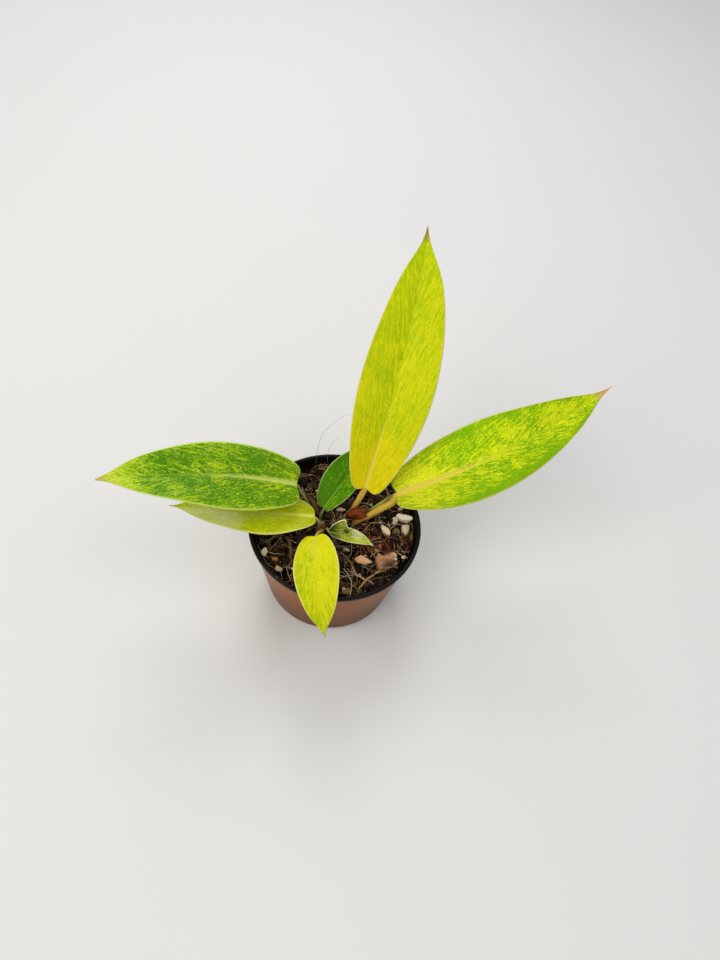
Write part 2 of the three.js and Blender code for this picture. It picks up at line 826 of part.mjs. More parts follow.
// A whole leaf, stalk and blade, as it grew, and the hole that its stalk stands in
function makeLeaf(leaf) {
  const spine = new Spine(leaf);
  let solid = toSolid(bladeGeometry(leaf, spine)).add(stalkSolid(leaf, spine));
  if (leaf.hole) solid = solid.subtract(holeSolid(leaf, spine));
  return { geometry: toGeometry(solid), socket: stalkSolid(leaf, spine, FIT) };
}

// A short stem and the hole that it stands in
function makeStem({ path, radii }) {
  const spots = vectors(path);
  const socket = toSolid(stalkGeometry(spots, radii, STALK.stemSides, FIT));
  return { geometry: stalkGeometry(spots, radii, STALK.stemSides), socket };
}

const plant = new THREE.Group();

// Adds a named piece with a finish of its own
function addPiece(name, geometry, colour, roughness) {
  const material = new THREE.MeshStandardMaterial({ color: colour, roughness, metalness: 0 });
  const mesh = new THREE.Mesh(geometry, material);
  mesh.name = name;
  plant.add(mesh);
}

const sockets = [];
for (const leaf of LEAVES) {
  const { geometry, socket } = makeLeaf(leaf);
  sockets.push(socket);
  addPiece(leaf.name, geometry, leaf.colour, 0.45);
}
for (const stem of STEMS) {
  const { geometry, socket } = makeStem(stem);
  sockets.push(socket);
  addPiece(stem.name, geometry, stem.colour, 0.7);
}
addPiece("pot", makePot(), "#33241b", 0.35);
addPiece("potting_mix", makeMix(sockets), "#453428", 0.95);

export default plant;
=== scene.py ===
"""A young variegated philodendron in a nursery pot, dressed around its fixed frame.

Lengths are in metres and angles in degrees. The origin is the centre of the pot's underside, +Z is
up and the front of the plant faces -Y.
"""

import logging
import math
from collections.abc import Iterable, Iterator, Sequence
from dataclasses import dataclass, field
from enum import Enum

import bmesh
import bpy
import numpy as np
from mathutils import Matrix, Vector


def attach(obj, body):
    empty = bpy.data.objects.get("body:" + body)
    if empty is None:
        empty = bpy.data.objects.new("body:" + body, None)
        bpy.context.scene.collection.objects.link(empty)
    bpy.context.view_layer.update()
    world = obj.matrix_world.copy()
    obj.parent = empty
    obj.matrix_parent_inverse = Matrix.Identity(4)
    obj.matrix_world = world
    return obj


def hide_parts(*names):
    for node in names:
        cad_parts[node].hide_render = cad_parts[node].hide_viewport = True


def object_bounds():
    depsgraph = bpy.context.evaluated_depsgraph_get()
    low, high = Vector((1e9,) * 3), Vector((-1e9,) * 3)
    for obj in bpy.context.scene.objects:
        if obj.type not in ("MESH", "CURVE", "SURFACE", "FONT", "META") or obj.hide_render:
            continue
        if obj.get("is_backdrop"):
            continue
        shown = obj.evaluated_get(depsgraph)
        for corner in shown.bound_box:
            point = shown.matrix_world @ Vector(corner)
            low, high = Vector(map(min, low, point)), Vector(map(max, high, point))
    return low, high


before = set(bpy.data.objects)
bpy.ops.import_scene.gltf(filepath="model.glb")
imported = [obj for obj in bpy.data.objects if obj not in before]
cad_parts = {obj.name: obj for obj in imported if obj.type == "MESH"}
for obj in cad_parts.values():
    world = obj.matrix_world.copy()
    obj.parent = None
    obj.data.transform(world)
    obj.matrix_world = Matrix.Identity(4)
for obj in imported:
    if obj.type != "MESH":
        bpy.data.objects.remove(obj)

CAD_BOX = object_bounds()
LOG = logging.getLogger("plant")

Array = np.ndarray
Point = tuple[float, float, float]
Colour = tuple[float, float, float, float]
Shape = tuple[Array, list[list[int]]]

MM = 0.001
TURN = 2 * math.pi


def mm(*values: float) -> tuple[float, ...]:
    """Lengths measured in millimetres, in metres."""
    return tuple(value * MM for value in values)


def paint(code: str) -> Colour:
    """A colour in the renderer's linear values.

    Args:
        code: The colour as written for a screen, such as "#8a3f1c".

    Returns:
        Its red, green and blue, and an alpha of 1.
    """
    shares = [int(code[i : i + 2], 16) / 255 for i in (1, 3, 5)]
    linear = [s / 12.92 if s <= 0.04045 else ((s + 0.055) / 1.055) ** 2.4 for s in shares]
    return (*linear, 1.0)


def lerp(low: float, high: float, share: float) -> float:
    """The value at a share of the way between two others."""
    return low + (high - low) * share


class Slot(Enum):
    """The material slots' names."""

    LEAF_YELLOW = "leaf_yellow"
    LEAF_GREEN = "leaf_green"
    STEM = "stem"
    SHEATH = "sheath"
    POT = "pot_plastic"
    MIX = "mix"


# Shader graphs


class Wire:
    """A value on its way through a shader. Python's operators on it add Math nodes."""

    def __init__(self, graph: "Graph", socket: bpy.types.NodeSocket) -> None:
        """Keeps the socket that the value comes out of."""
        self.graph = graph
        self.socket = socket

    def __add__(self, other: "Wire | float") -> "Wire":
        """self + other."""
        return self.graph.maths("ADD", self, other)

    def __radd__(self, other: float) -> "Wire":
        """other + self."""
        return self.graph.maths("ADD", other, self)

    def __sub__(self, other: "Wire | float") -> "Wire":
        """self - other."""
        return self.graph.maths("SUBTRACT", self, other)

    def __rsub__(self, other: float) -> "Wire":
        """other - self."""
        return self.graph.maths("SUBTRACT", other, self)

    def __mul__(self, other: "Wire | float") -> "Wire":
        """self * other."""
        return self.graph.maths("MULTIPLY", self, other)

    def __rmul__(self, other: float) -> "Wire":
        """other * self."""
        return self.graph.maths("MULTIPLY", other, self)

    def __truediv__(self, other: "Wire | float") -> "Wire":
        """self / other."""
        return self.graph.maths("DIVIDE", self, other)

    def __pow__(self, other: "Wire | float") -> "Wire":
        """self ** other."""
        return self.graph.maths("POWER", self, other)

    def step(self, low: float, high: float) -> "Wire":
        """A smooth step in the value.

        Args:
            low: Where the step is still 0.
            high: Where it has reached 1, above low or below it.

        Returns:
            The step.
        """
        start, end = (low, high) if low < high else (high, low)
        settings = {"interpolation_type": "SMOOTHSTEP"}
        sockets = {"Value": self, "From Min": start, "From Max": end}
        risen = self.graph.wire("ShaderNodeMapRange", settings, sockets)
        return risen if low < high else 1 - risen


class Graph:
    """One material's nodes."""

    def __init__(self, name: str) -> None:
        """Starts an empty material.

        Args:
            name: Its name.
        """
        self.material = bpy.data.materials.new(name)
        self.material.use_nodes = True
        self.tree = self.material.node_tree
        self.tree.nodes.clear()

    def add(self, kind: str, settings: dict | None = None, sockets: dict | None = None) -> bpy.types.Node:
        """Adds a node.

        Args:
            kind: The node's type.
            settings: Its own settings, set first.
            sockets: Values, colour codes or wires for its inputs, by name or number.

        Returns:
            The node.
        """
        node = self.tree.nodes.new(kind)
        for key, value in (settings or {}).items():
            setattr(node, key, value)
        for key, value in (sockets or {}).items():
            if isinstance(value, Wire):
                self.tree.links.new(value.socket, node.inputs[key])
            else:
                node.inputs[key].default_value = paint(value) if isinstance(value, str) else value
        return node

    def wire(self, kind: str, settings: dict | None = None, sockets: dict | None = None,
             output: int | str = 0) -> Wire:
        """Adds a node and returns one of its outputs."""
        return Wire(self, self.add(kind, settings, sockets).outputs[output])

    def maths(self, operation: str, *values: Wire | float) -> Wire:
        """Adds a Math node."""
        return self.wire("ShaderNodeMath", {"operation": operation}, dict(enumerate(values)))

    def stretch(self, place: Wire, factors: Sequence[float]) -> Wire:
        """A place with each of its three numbers multiplied by its own factor."""
        return self.wire("ShaderNodeVectorMath", {"operation": "MULTIPLY"}, {0: place, 1: tuple(factors)})

    def parts(self, place: Wire) -> tuple[Wire, Wire, Wire]:
        """The three numbers of a place."""
        node = self.add("ShaderNodeSeparateXYZ", None, {0: place})
        return tuple(Wire(self, output) for output in node.outputs)

    def field(self, name: str, kind: str = "Vector") -> Wire:
        """A mesh's own field of vectors, or of colours where the kind is "Color"."""
        return self.wire("ShaderNodeAttribute", {"attribute_name": name}, None, kind)

    def here(self) -> Wire:
        """The place on the object, in metres."""
        return self.wire("ShaderNodeTexCoord", None, None, "Object")

    def noise(self, place: Wire, scale: float, detail: float = 3.0, roughness: float = 0.55,
              distortion: float = 0.0) -> Wire:
        """Smooth noise round 0.5, scale being its number of waves to a metre."""
        sockets = {"Vector": place, "Scale": scale, "Detail": detail, "Roughness": roughness}
        return self.wire("ShaderNodeTexNoise", None, {**sockets, "Distortion": distortion})

    def mix(self, factor: Wire | float, first: Wire | str, second: Wire | str, blend: str = "MIX") -> Wire:
        """Mixes two colours."""
        settings = {"data_type": "RGBA", "blend_type": blend}
        return self.wire("ShaderNodeMix", settings, {0: factor, 6: first, 7: second}, 2)

    def shade(self, colour: Wire | str, amount: Wire) -> Wire:
        """A colour made darker or lighter by an amount round 1."""
        grey = self.wire("ShaderNodeCombineColor", None, {0: amount, 1: amount, 2: amount})
        return self.mix(1.0, colour, grey, "MULTIPLY")

    def bump(self, height: Wire, distance: float, strength: float) -> Wire:
        """A surface's small relief, as a normal."""
        sockets = {"Height": height, "Distance": distance, "Strength": strength}
        return self.wire("ShaderNodeBump", None, sockets)

    def finish(self, sockets: dict) -> bpy.types.Material:
        """Ends the graph in one Principled surface.

        Args:
            sockets: Values, colour codes or wires for the surface's inputs, by name.

        Returns:
            The finished material.
        """
        surface = self.wire("ShaderNodeBsdfPrincipled", None, sockets)
        self.add("ShaderNodeOutputMaterial", None, {"Surface": surface})
        return self.material


@dataclass(frozen=True)
class Spot:
    """A soft uneven patch on a blade: its place along and across the blade, its reach and strength."""

    along: float
    across: float
    reach: float
    amount: float
    unevenness: float = 1.6

    def cover(self, g: Graph, flat: Wire, uneven: Wire) -> Wire:
        """How strongly the patch covers the blade.

        Args:
            g: The material's graph.
            flat: The place on the blade laid flat.
            uneven: A noise round 0 that pushes the patch's outline about.

        Returns:
            Its strength at each place.
        """
        u, across, _ = g.parts(flat)
        away = ((u - self.along) / self.reach) ** 2 + ((across - self.across) / self.reach) ** 2
        return (away + uneven * self.unevenness).step(1.0, 0.0) * self.amount


@dataclass(frozen=True)
class Zones:
    """How much yellower a blade is in some of its parts than on the whole.

    patch is the swing of its large soft patches, left is for the left half against the right, partly the
    blade's own colour and partly painted light on the half turned to the lamps, and end is for the tip,
    from end_from on. Its half shade is painted shade: how much darker the left half is towards the base,
    where it turns from the light, and partly its own colour; below 0 that half is painted lighter.
    """

    base: float = 0.04
    end: float = 0.0
    end_from: float = 0.6
    middle: float = 0.0
    edge: float = 0.0
    left: float = 0.0
    patch: float = 0.18
    painted_half_shade: float = 0.0
    spots: tuple[Spot, ...] = ()


@dataclass(frozen=True)
class LeafFinish:
    """A waxy variegated blade: a green ground with yellow and pale flecks along its streak lines.

    yellowness shifts the balance from green to yellow, and gilded is how far the base takes its base tint:
    a golden tint on most blades, and on the torn one a dark olive that paints shade over its base.
    Each kind of fleck has its waves to a metre along and across the streaks, and a number that sets it
    apart. fine is the share of specks, and soft blurs them all. A painted glare is a pale greyish patch
    that paints a lamp's highlight on the wax. The margin starts at a share of the half width, and the
    dry tip at one of the length.
    """

    name: str
    green: str
    yellow: str
    base_gold_and_shade: str
    pale: str
    midrib: str
    margin: str
    tip: str
    yellowness: float = 0.0
    pales: float = 0.5
    gilded: float = 0.5
    gilded_to: float = 0.34
    golds: float = 0.15
    long_flecks: Point = (110, 540, 1)
    short_flecks: Point = (290, 1000, 3)
    specks: Point = (850, 2200, 5)
    pale_flecks: Point = (330, 1400, 9)
    short_share: float = 0.4
    fine: float = 0.24
    soft: float = 0.07
    cloud_waves: float = 150
    grain_waves: float = 2600
    rib_end: float = 0.45
    rib_width: float = 1 * MM
    margin_from: float = 0.95
    margin_blur: float = 0.035
    tip_from: float = 0.95
    tip_blur: float = 0.06
    gloss: float = 0.42
    specular: float = 0.07
    specular_tint: str = "#f4ffc0"
    back: str = "#9db04a"
    painted_glare: str = "#d8d89c"
    painted_glares: tuple[Spot, ...] = ()
    zones: Zones = Zones()

    def material(self) -> bpy.types.Material:
        """Makes the blade's material.

        Returns:
            The material.
        """
        g = Graph(self.name)
        flat = g.field("flat")
        streak = g.field("streak")
        place, share, face = g.parts(g.field("leaf"))
        _, across, _ = g.parts(flat)
        # Long and short flecks, narrow across the streak lines, and specks between them
        long = g.noise(g.stretch(streak, self.long_flecks), 1.0, 3.0, 0.6, 0.2)
        short = g.noise(g.stretch(streak, self.short_flecks), 1.0, 2.0, 0.6, 0.3)
        specks = g.noise(g.stretch(streak, self.specks), 1.0, 1.0)
        long_share = 1 - self.short_share - self.fine
        flecks = long * long_share + short * self.short_share + specks * self.fine
        zone = self.yellower(g, flat, place, share, across)
        yellow = (flecks + zone).step(0.5 - self.soft, 0.5 + self.soft)
        colour = g.mix(yellow, self.green, self.yellow)
        # The base tint, which on the torn blade is a dark olive of painted shade
        base_gold_and_shade = place.step(self.gilded_to, 0.02) * self.gilded + (long + zone).step(0.52, 0.68) * self.golds
        colour = g.mix(base_gold_and_shade, colour, self.base_gold_and_shade)
        light = g.noise(g.stretch(streak, self.pale_flecks), 1.0, 2.0, 0.55, 0.4)
        pale = (light * 0.8 + specks * 0.2 + zone * 0.4).step(0.54, 0.66)
        colour = g.mix(pale * self.pales, colour, self.pale)
        # The painted glare highlights, and the light and dark clouds over all
        clouds = g.noise(flat, self.cloud_waves, 3.0, 0.6)
        for spot in self.painted_glares:
            colour = g.mix(spot.cover(g, flat, clouds - 0.5), colour, self.painted_glare)
        # Painted shade on the left half towards the base; a negative amount paints that half lighter.
        half = across.step(-2 * MM, 2 * MM) * place.step(0.95, 0.1) * self.zones.painted_half_shade
        colour = g.shade(colour, (0.56 + clouds * 0.2 + flecks * 0.14 + specks * 0.56) * (1 - half))
        colour = self.trimmed(g, colour, place, share, across)
        dry = (place + clouds * 0.03).step(self.tip_from, self.tip_from + self.tip_blur)
        colour = g.mix(dry * 0.85, colour, self.tip)
        back = face.step(0.2, -0.2)
        colour = g.mix(back * 0.45, colour, self.back)
        relief = flecks * 0.5 + g.noise(flat, self.grain_waves, 1.0) * 0.25
        return g.finish({
            "Base Color": colour,
            "Roughness": self.gloss + clouds * 0.1 + back * 0.2 + dry * 0.25,
            "Normal": g.bump(relief, 0.07 * MM, 0.6),
            "Specular IOR Level": self.specular,
            "Specular Tint": self.specular_tint,
        })

    def trimmed(self, g: Graph, colour: Wire, place: Wire, share: Wire, across: Wire) -> Wire:
        """Adds the pale midrib, and the thin margin that dries out towards the tip.

        Args:
            g: The material's graph.
            colour: The blade's colour.
            place: The share of the length.
            share: The share of the way from the midrib to the edge.
            across: The length across.

        Returns:
            The colour with both.
        """
        width = self.rib_width * (1.1 - place)
        core = (g.maths("ABSOLUTE", across) / width).step(1.4, 0.2)
        core = core * place.step(self.rib_end, self.rib_end * 0.25)
        colour = g.mix(core * 0.8, colour, self.midrib)
        margin = g.mix(place.step(0.75, 0.97) * 0.7, self.margin, self.tip)
        edge = share.step(self.margin_from, self.margin_from + self.margin_blur)
        return g.mix(edge * 0.85, colour, margin)

    def yellower(self, g: Graph, flat: Wire, place: Wire, share: Wire, across: Wire) -> Wire:
        """How much yellower the blade is at each place.

        Args:
            g: The material's graph.
            flat: The place on the blade laid flat.
            place: The share of the length.
            share: The share of the way from the midrib to the edge.
            across: The length across, more than 0 on the left half.

        Returns:
            The amount to add to the flecks.
        """
        zones = self.zones
        patches = g.noise(flat, 60, 2.0, 0.5) + g.noise(flat, 170, 2.0, 0.5) * 0.7 - 0.85
        zone = patches * zones.patch + self.yellowness
        zone = zone + place.step(0.32, 0.0) * zones.base + place.step(zones.end_from, 0.97) * zones.end
        zone = zone + share.step(0.5, 0.0) * zones.middle + share.step(0.6, 1.0) * zones.edge
        for spot in zones.spots:
            zone = zone + spot.cover(g, flat, patches)
        return zone + across.step(-3 * MM, 3 * MM) * zones.left


@dataclass(frozen=True)
class StalkFinish:
    """A smooth fleshy stalk: one colour at its foot, another at its head and a third underneath.

    Fine lines run along it, and lined is their strength.
    """

    name: str
    foot: str
    head: str
    under: str
    line: str = "#e8d98c"
    lined: float = 0.3
    gloss: float = 0.4
    line_waves: Point = (110, 1300, 1300)
    blot_waves: float = 420
    specular: float = 0.16

    def material(self) -> bpy.types.Material:
        """Makes the stalk's material.

        Returns:
            The material.
        """
        g = Graph(self.name)
        share, up, _ = g.parts(g.field("line"))
        lines = g.noise(g.stretch(g.field("around"), self.line_waves), 1.0, 3.0, 0.6)
        blots = g.noise(g.here(), self.blot_waves, 3.0, 0.6)
        colour = g.mix((share + blots * 0.3).step(0.45, 0.85), self.foot, self.head)
        colour = g.mix(lines.step(0.52, 0.66) * self.lined, colour, self.line)
        colour = g.mix(lines.step(0.46, 0.32) * 0.5, colour, self.under)
        colour = g.mix((up + blots * 0.4).step(0.35, -0.4) * 0.75, colour, self.under)
        colour = g.shade(colour, 0.78 + lines * 0.24 + blots * 0.2)
        return g.finish({
            "Base Color": colour,
            "Roughness": self.gloss + blots * 0.12,
            "Normal": g.bump(lines, 0.12 * MM, 0.7),
            "Specular IOR Level": self.specular,
        })


@dataclass(frozen=True)
class DryFinish:
    """A dead papery scale with lengthwise fibres."""

    name: str
    light: str
    dark: str
    gloss: float
    fibre_waves: Point = (120, 1500, 1)
    stain_waves: float = 320
    specular: float = 0.15

    def material(self) -> bpy.types.Material:
        """Makes the scale's material.

        Returns:
            The material.
        """
        g = Graph(self.name)
        flat = g.field("flat")
        place, share, _ = g.parts(g.field("leaf"))
        fibres = g.noise(g.stretch(flat, self.fibre_waves), 1.0, 4.0, 0.65, 0.6)
        stains = g.noise(flat, self.stain_waves, 3.0, 0.6)
        light = (fibres * 0.7 + stains * 0.5 - share * 0.12).step(0.42, 0.72)
        colour = g.mix(light, self.dark, self.light)
        colour = g.shade(colour, 1.1 - place.step(0.6, 1.0) * 0.35)
        return g.finish({
            "Base Color": colour,
            "Roughness": self.gloss + stains * 0.25,
            "Normal": g.bump(fibres + stains * 0.5, 0.2 * MM, 0.8),
            "Specular IOR Level": self.specular,
        })


@dataclass(frozen=True)
class PotFinish:
    """Thin glossy plastic, dusted with dry mix inside and smudged outside. Its brown outside, darker
    towards the foot, is partly the plastic's own dark brown and partly a painted reflection of warm brown
    surroundings, and its near-black inside is the black plastic with painted shade.

    Its clouds, grit and flow lines are given in waves to a metre.
    """

    name: str = "pot_plastic_and_painted_reflection"
    # The plastic's own dark brown with a painted reflection of warm brown surroundings, darker at the foot
    outside: str = "#965a2a"
    foot: str = "#6e401c"
    # Near black: the plastic's black with painted shade inside the pot
    inside: str = "#080707"
    rim: str = "#15110f"
    dust: str = "#4a3a2a"
    gloss: float = 0.26
    specular: float = 0.08
    cloud_waves: float = 45
    grit_waves: float = 900
    flow_waves: Point = (260, 260, 12)

    def material(self) -> bpy.types.Material:
        """Makes the pot's material.

        Returns:
            The material.
        """
        g = Graph(self.name)
        inner, height, rim = g.parts(g.field("wall"))
        here = g.here()
        cloud = g.noise(here, self.cloud_waves, 4.0, 0.6)
        grit = g.noise(here, self.grit_waves, 3.0, 0.7)
        flow = g.noise(g.stretch(here, self.flow_waves), 1.0, 2.0, 0.5)
        # The brown outside is partly a painted reflection, and the near-black inside partly painted shade
        outside = g.mix(height.step(0.9, 0.1), self.outside, self.foot)
        colour = g.mix(inner, outside, self.inside)
        colour = g.mix(rim, colour, self.rim)
        colour = g.shade(colour, 0.82 + cloud * 0.36)
        settled = inner * height.step(0.985, 0.88) * grit.step(0.5, 0.64)
        smudge = (1 - inner) * (cloud * grit).step(0.3, 0.42)
        colour = g.mix(settled * 0.3 + smudge * 0.12, colour, self.dust)
        return g.finish({
            "Base Color": colour,
            "Roughness": self.gloss + cloud * 0.12 + settled * 0.4 + smudge * 0.25 + inner * 0.25,
            "Normal": g.bump(flow * 0.7 + grit * 0.12, 0.12 * MM, 0.35),
            "Specular IOR Level": self.specular,
        })


@dataclass(frozen=True)
class GroundFinish:
    """Dark damp mix: brown crumbs and a few tan ones, painted near black as shade in its low places.

    Its lumps, grit and strands are given in waves to a metre.
    """

    name: str = "mix_ground"
    # Near black: painted shade for the low places between the clods
    hollow: str = "#040302"
    crumb: str = "#21160e"
    tan: str = "#66503a"
    specular: float = 0.1
    lump_waves: float = 320
    grit_waves: float = 1500
    strand_waves: Point = (1400, 260, 900)

    def material(self) -> bpy.types.Material:
        """Makes the ground's material.

        Returns:
            The material.
        """
        g = Graph(self.name)
        here = g.here()
        height, _, _ = g.parts(g.field("height"))
        lumps = g.noise(here, self.lump_waves, 5.0, 0.65)
        grit = g.noise(here, self.grit_waves, 3.0, 0.7)
        strands = g.noise(g.stretch(here, self.strand_waves), 1.0, 3.0, 0.7, 1.2)
        # Painted shade: the places that lie low between the clods are painted near black
        raised = (height + lumps * 0.8).step(0.3, 1.3)
        colour = g.mix(raised, self.hollow, self.crumb)
        flecks = (grit * 0.6 + strands * 0.4).step(0.56, 0.68)
        colour = g.mix(flecks * raised * 0.7, colour, self.tan)
        return g.finish({
            "Base Color": colour,
            "Roughness": 0.78 + lumps * 0.2,
            "Normal": g.bump(lumps + grit * 0.5, 0.7 * MM, 0.9),
            "Specular IOR Level": self.specular,
        })


@dataclass(frozen=True)
class LooseFinish:
    """Loose pieces of the mix: each has its own tint, with stains, pores and grain over it.

    The last three give the waves to a metre of the stains, the pores and the layers of the grain.
    """

    name: str
    stain: str
    stains: float
    pores: float
    grain: float
    rough: float
    specular: float = 0.14
    stain_waves: float = 300
    pore_waves: float = 1500
    layer_waves: Point = (240, 240, 2400)

    def material(self) -> bpy.types.Material:
        """Makes the loose pieces' material.

        Returns:
            The material.
        """
        g = Graph(self.name)
        own = g.field("own")
        tint = g.field("tint", "Color")
        blots = g.noise(own, self.stain_waves, 4.0, 0.65)
        pits = g.noise(own, self.pore_waves, 2.0, 0.7)
        layers = g.noise(g.stretch(own, self.layer_waves), 1.0, 3.0, 0.6)
        colour = g.mix(blots.step(0.62 - 0.3 * self.stains, 0.8) * self.stains, tint, self.stain)
        dark = 1.08 - pits.step(0.52, 0.7) * self.pores * 0.6 - layers.step(0.5, 0.62) * self.grain * 0.4
        colour = g.shade(colour, dark + (blots - 0.5) * 0.35)
        height = blots * 0.7 - pits * self.pores - layers * self.grain
        return g.finish({
            "Base Color": colour,
            "Roughness": self.rough + blots * 0.15,
            "Normal": g.bump(height, 0.35 * MM, 0.8),
            "Specular IOR Level": self.specular,
        })


@dataclass(frozen=True)
class FloorFinish:
    """The plain pale floor."""

    name: str = "floor_pale"
    colour: str = "#d6d5d3"
    rough: float = 0.7
    tone_waves: float = 3

    def material(self) -> bpy.types.Material:
        """Makes the floor's material.

        Returns:
            The material.
        """
        g = Graph(self.name)
        tone = g.noise(g.here(), self.tone_waves, 2.0)
        colour = g.shade(self.colour, 0.98 + tone * 0.04)
        return g.finish({"Base Color": colour, "Roughness": self.rough})


# Meshes


def put_fields(mesh: bpy.types.Mesh, fields: dict) -> None:
    """Gives a mesh's points their fields.

    Args:
        mesh: The mesh.
        fields: Values for each point, by name: vectors, or colours where there are four numbers.
    """
    for key, values in fields.items():
        values = np.asarray(values, np.float32)
        kind, part = ("FLOAT_COLOR", "color") if values.shape[1] == 4 else ("FLOAT_VECTOR", "vector")
        mesh.attributes.new(key, kind, "POINT").data.foreach_set(part, values.ravel())


def make_piece(name: str, shape: tuple, material: bpy.types.Material, fields: dict | None = None,
               smooth: bool = True) -> bpy.types.Object:
    """Makes a mesh object.

    Args:
        name: The piece's name.
        shape: Its points, and its faces as lists of point numbers.
        material: Its finish.
        fields: Values for each point, by name: vectors, or colours where there are four numbers.
        smooth: Whether its faces are shaded smoothly.

    Returns:
        The object.
    """
    points, faces = shape
    mesh = bpy.data.meshes.new(name)
    mesh.from_pydata(np.asarray(points).tolist(), [], [list(map(int, f)) for f in faces])
    put_fields(mesh, fields or {})
    mesh.polygons.foreach_set("use_smooth", [smooth] * len(mesh.polygons))
    mesh.materials.append(material)
    mesh.update()
    piece = bpy.data.objects.new(name, mesh)
    bpy.context.scene.collection.objects.link(piece)
    return piece


def settle(piece: bpy.types.Object, slot: Slot, *nodes: str) -> None:
    """Lets a piece ride on the plant and take its place.

    Args:
        piece: The piece.
        slot: Its material slot, which is not used.
        nodes: The CAD nodes that it stands for.
    """
    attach(piece, "root")
    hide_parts(*nodes)
    LOG.info("%s: %d faces", piece.name, len(piece.data.polygons))


def smooth_path(points: Sequence[Sequence[float]], steps: int) -> Array:
    """A smooth curve through some points, which doesn't overshoot between them.

    Args:
        points: The points.
        steps: The number of steps between each two.

    Returns:
        The curve's points.
    """
    knots = np.asarray(points, float)
    ends = np.vstack([2 * knots[0] - knots[1], knots, 2 * knots[-1] - knots[-2]])
    found = []
    for p0, p1, p2, p3 in zip(ends, ends[1:], ends[2:], ends[3:]):
        d0, d1, d2 = (math.sqrt(np.linalg.norm(b - a)) for a, b in ((p0, p1), (p1, p2), (p2, p3)))
        leave = ((p1 - p0) / d0 - (p2 - p0) / (d0 + d1) + (p2 - p1) / d1) * d1
        arrive = ((p2 - p1) / d1 - (p3 - p1) / (d1 + d2) + (p3 - p2) / d2) * d1
        for k in range(steps):
            s = k / steps
            bend = (2 * s**3 - 3 * s**2 + 1) * p1 + (s**3 - 2 * s**2 + s) * leave
            found.append(bend + (3 * s**2 - 2 * s**3) * p2 + (s**3 - s**2) * arrive)
    return np.vstack([found, knots[-1]])


def ring_faces(rings: int, sides: int) -> list[list[int]]:
    """The faces of a closed body: rings of points one after another, and then its two end points.

    Args:
        rings: The number of rings.
        sides: The number of points on each.

    Returns:
        The faces, as lists of point numbers.
    """
    k = np.arange(sides)
    after = (k + 1) % sides
    faces = []
    for low in range(0, (rings - 1) * sides, sides):
        high = low + sides
        faces += np.stack([low + k, low + after, high + after, high + k], 1).tolist()
    top, start = (rings - 1) * sides, rings * sides
    faces += np.stack([after, k, np.full(sides, start)], 1).tolist()
    return faces + np.stack([top + k, top + after, np.full(sides, start + 1)], 1).tolist()


def tube(path: Array, radii: Iterable[float], sides: int) -> Shape:
    """A round tube along a path, closed at both ends.

    Args:
        path: The points of its middle line.
        radii: Its radius at each of them.
        sides: The number of sides.

    Returns:
        Its points, ring by ring and then the two ends, and its faces.
    """
    path = np.asarray(path, float)
    tangents = np.gradient(path, axis=0)
    tangents /= np.linalg.norm(tangents, axis=1)[:, None]
    side = np.array([1.0, 0.0, 0.0])
    if abs(tangents[0] @ side) > 0.9:
        side = np.array([0.0, 1.0, 0.0])
    turns = np.arange(sides) * TURN / sides
    rings = []
    for point, tangent, radius in zip(path, tangents, radii):
        side = side - tangent * (side @ tangent)
        side /= np.linalg.norm(side)
        other = np.cross(tangent, side)
        rings.append(point + radius * (np.cos(turns)[:, None] * side + np.sin(turns)[:, None] * other))
    return np.vstack([*rings, path[0], path[-1]]), ring_faces(len(path), sides)


def run_of(path: Array) -> Array:
    """The length along a path up to each of its points."""
    return np.append(0, np.cumsum(np.linalg.norm(np.diff(path, axis=0), axis=1)))


def skin_fields(points: Array, path: Array, radii: Array, share: Array) -> dict:
    """The fields of a stalk's or stem's skin, the two ends last.

    Args:
        points: The points of its tube.
        path: The points of its middle line.
        radii: Its radius at each of them.
        share: How far up the stalk each of them is, from 0 to 1.

    Returns:
        "line", that share and how far the skin faces up, and "around", the place along and round it.
    """
    sides = (len(points) - 2) // len(path)
    lengths = run_of(path)
    turn = np.tile(np.arange(sides) * TURN / sides, len(path))
    ring = np.repeat(radii, sides)
    around = np.stack([np.repeat(lengths, sides), ring * np.cos(turn), ring * np.sin(turn)], 1)
    out = points[:-2] - np.repeat(path, sides, axis=0)
    up = np.append(out[:, 2] / np.linalg.norm(out, axis=1), [0, 0])
    line = np.stack([np.append(np.repeat(share, sides), [0, 1]), up, 0 * up], 1)
    return {"line": line, "around": np.vstack([around, [0, 0, 0], [lengths[-1], 0, 0]])}


class Grain:
    """Smooth noise over a plane, between -1 and 1, the same on every run."""

    SIZE = 256

    def __init__(self, seed: int) -> None:
        """Draws the noise's table."""
        self.table = np.random.RandomState(seed).uniform(-1, 1, (self.SIZE, self.SIZE))

    def at(self, x: Array, y: Array, size: float) -> Array:
        """The noise at some places.

        Args:
            x: The places' first numbers.
            y: Their second numbers.
            size: How large its lumps are.

        Returns:
            The noise there.
        """
        u, v = np.asarray(x) / size + 1000.0, np.asarray(y) / size + 1000.0
        i, j = np.floor(u).astype(int), np.floor(v).astype(int)
        f, g = u - i, v - j
        f, g = f * f * (3 - 2 * f), g * g * (3 - 2 * g)
        n = self.SIZE
        low = self.table[i % n, j % n] * (1 - f) + self.table[(i + 1) % n, j % n] * f
        high = self.table[i % n, (j + 1) % n] * (1 - f) + self.table[(i + 1) % n, (j + 1) % n] * f
        return low * (1 - g) + high * g

    def layers(self, x: Array, y: Array, size: float, count: int) -> Array:
        """Several noises on top of each other, each half as large as the one before."""
        return sum(self.at(x, y, size / 2**k) / 2**k for k in range(count))


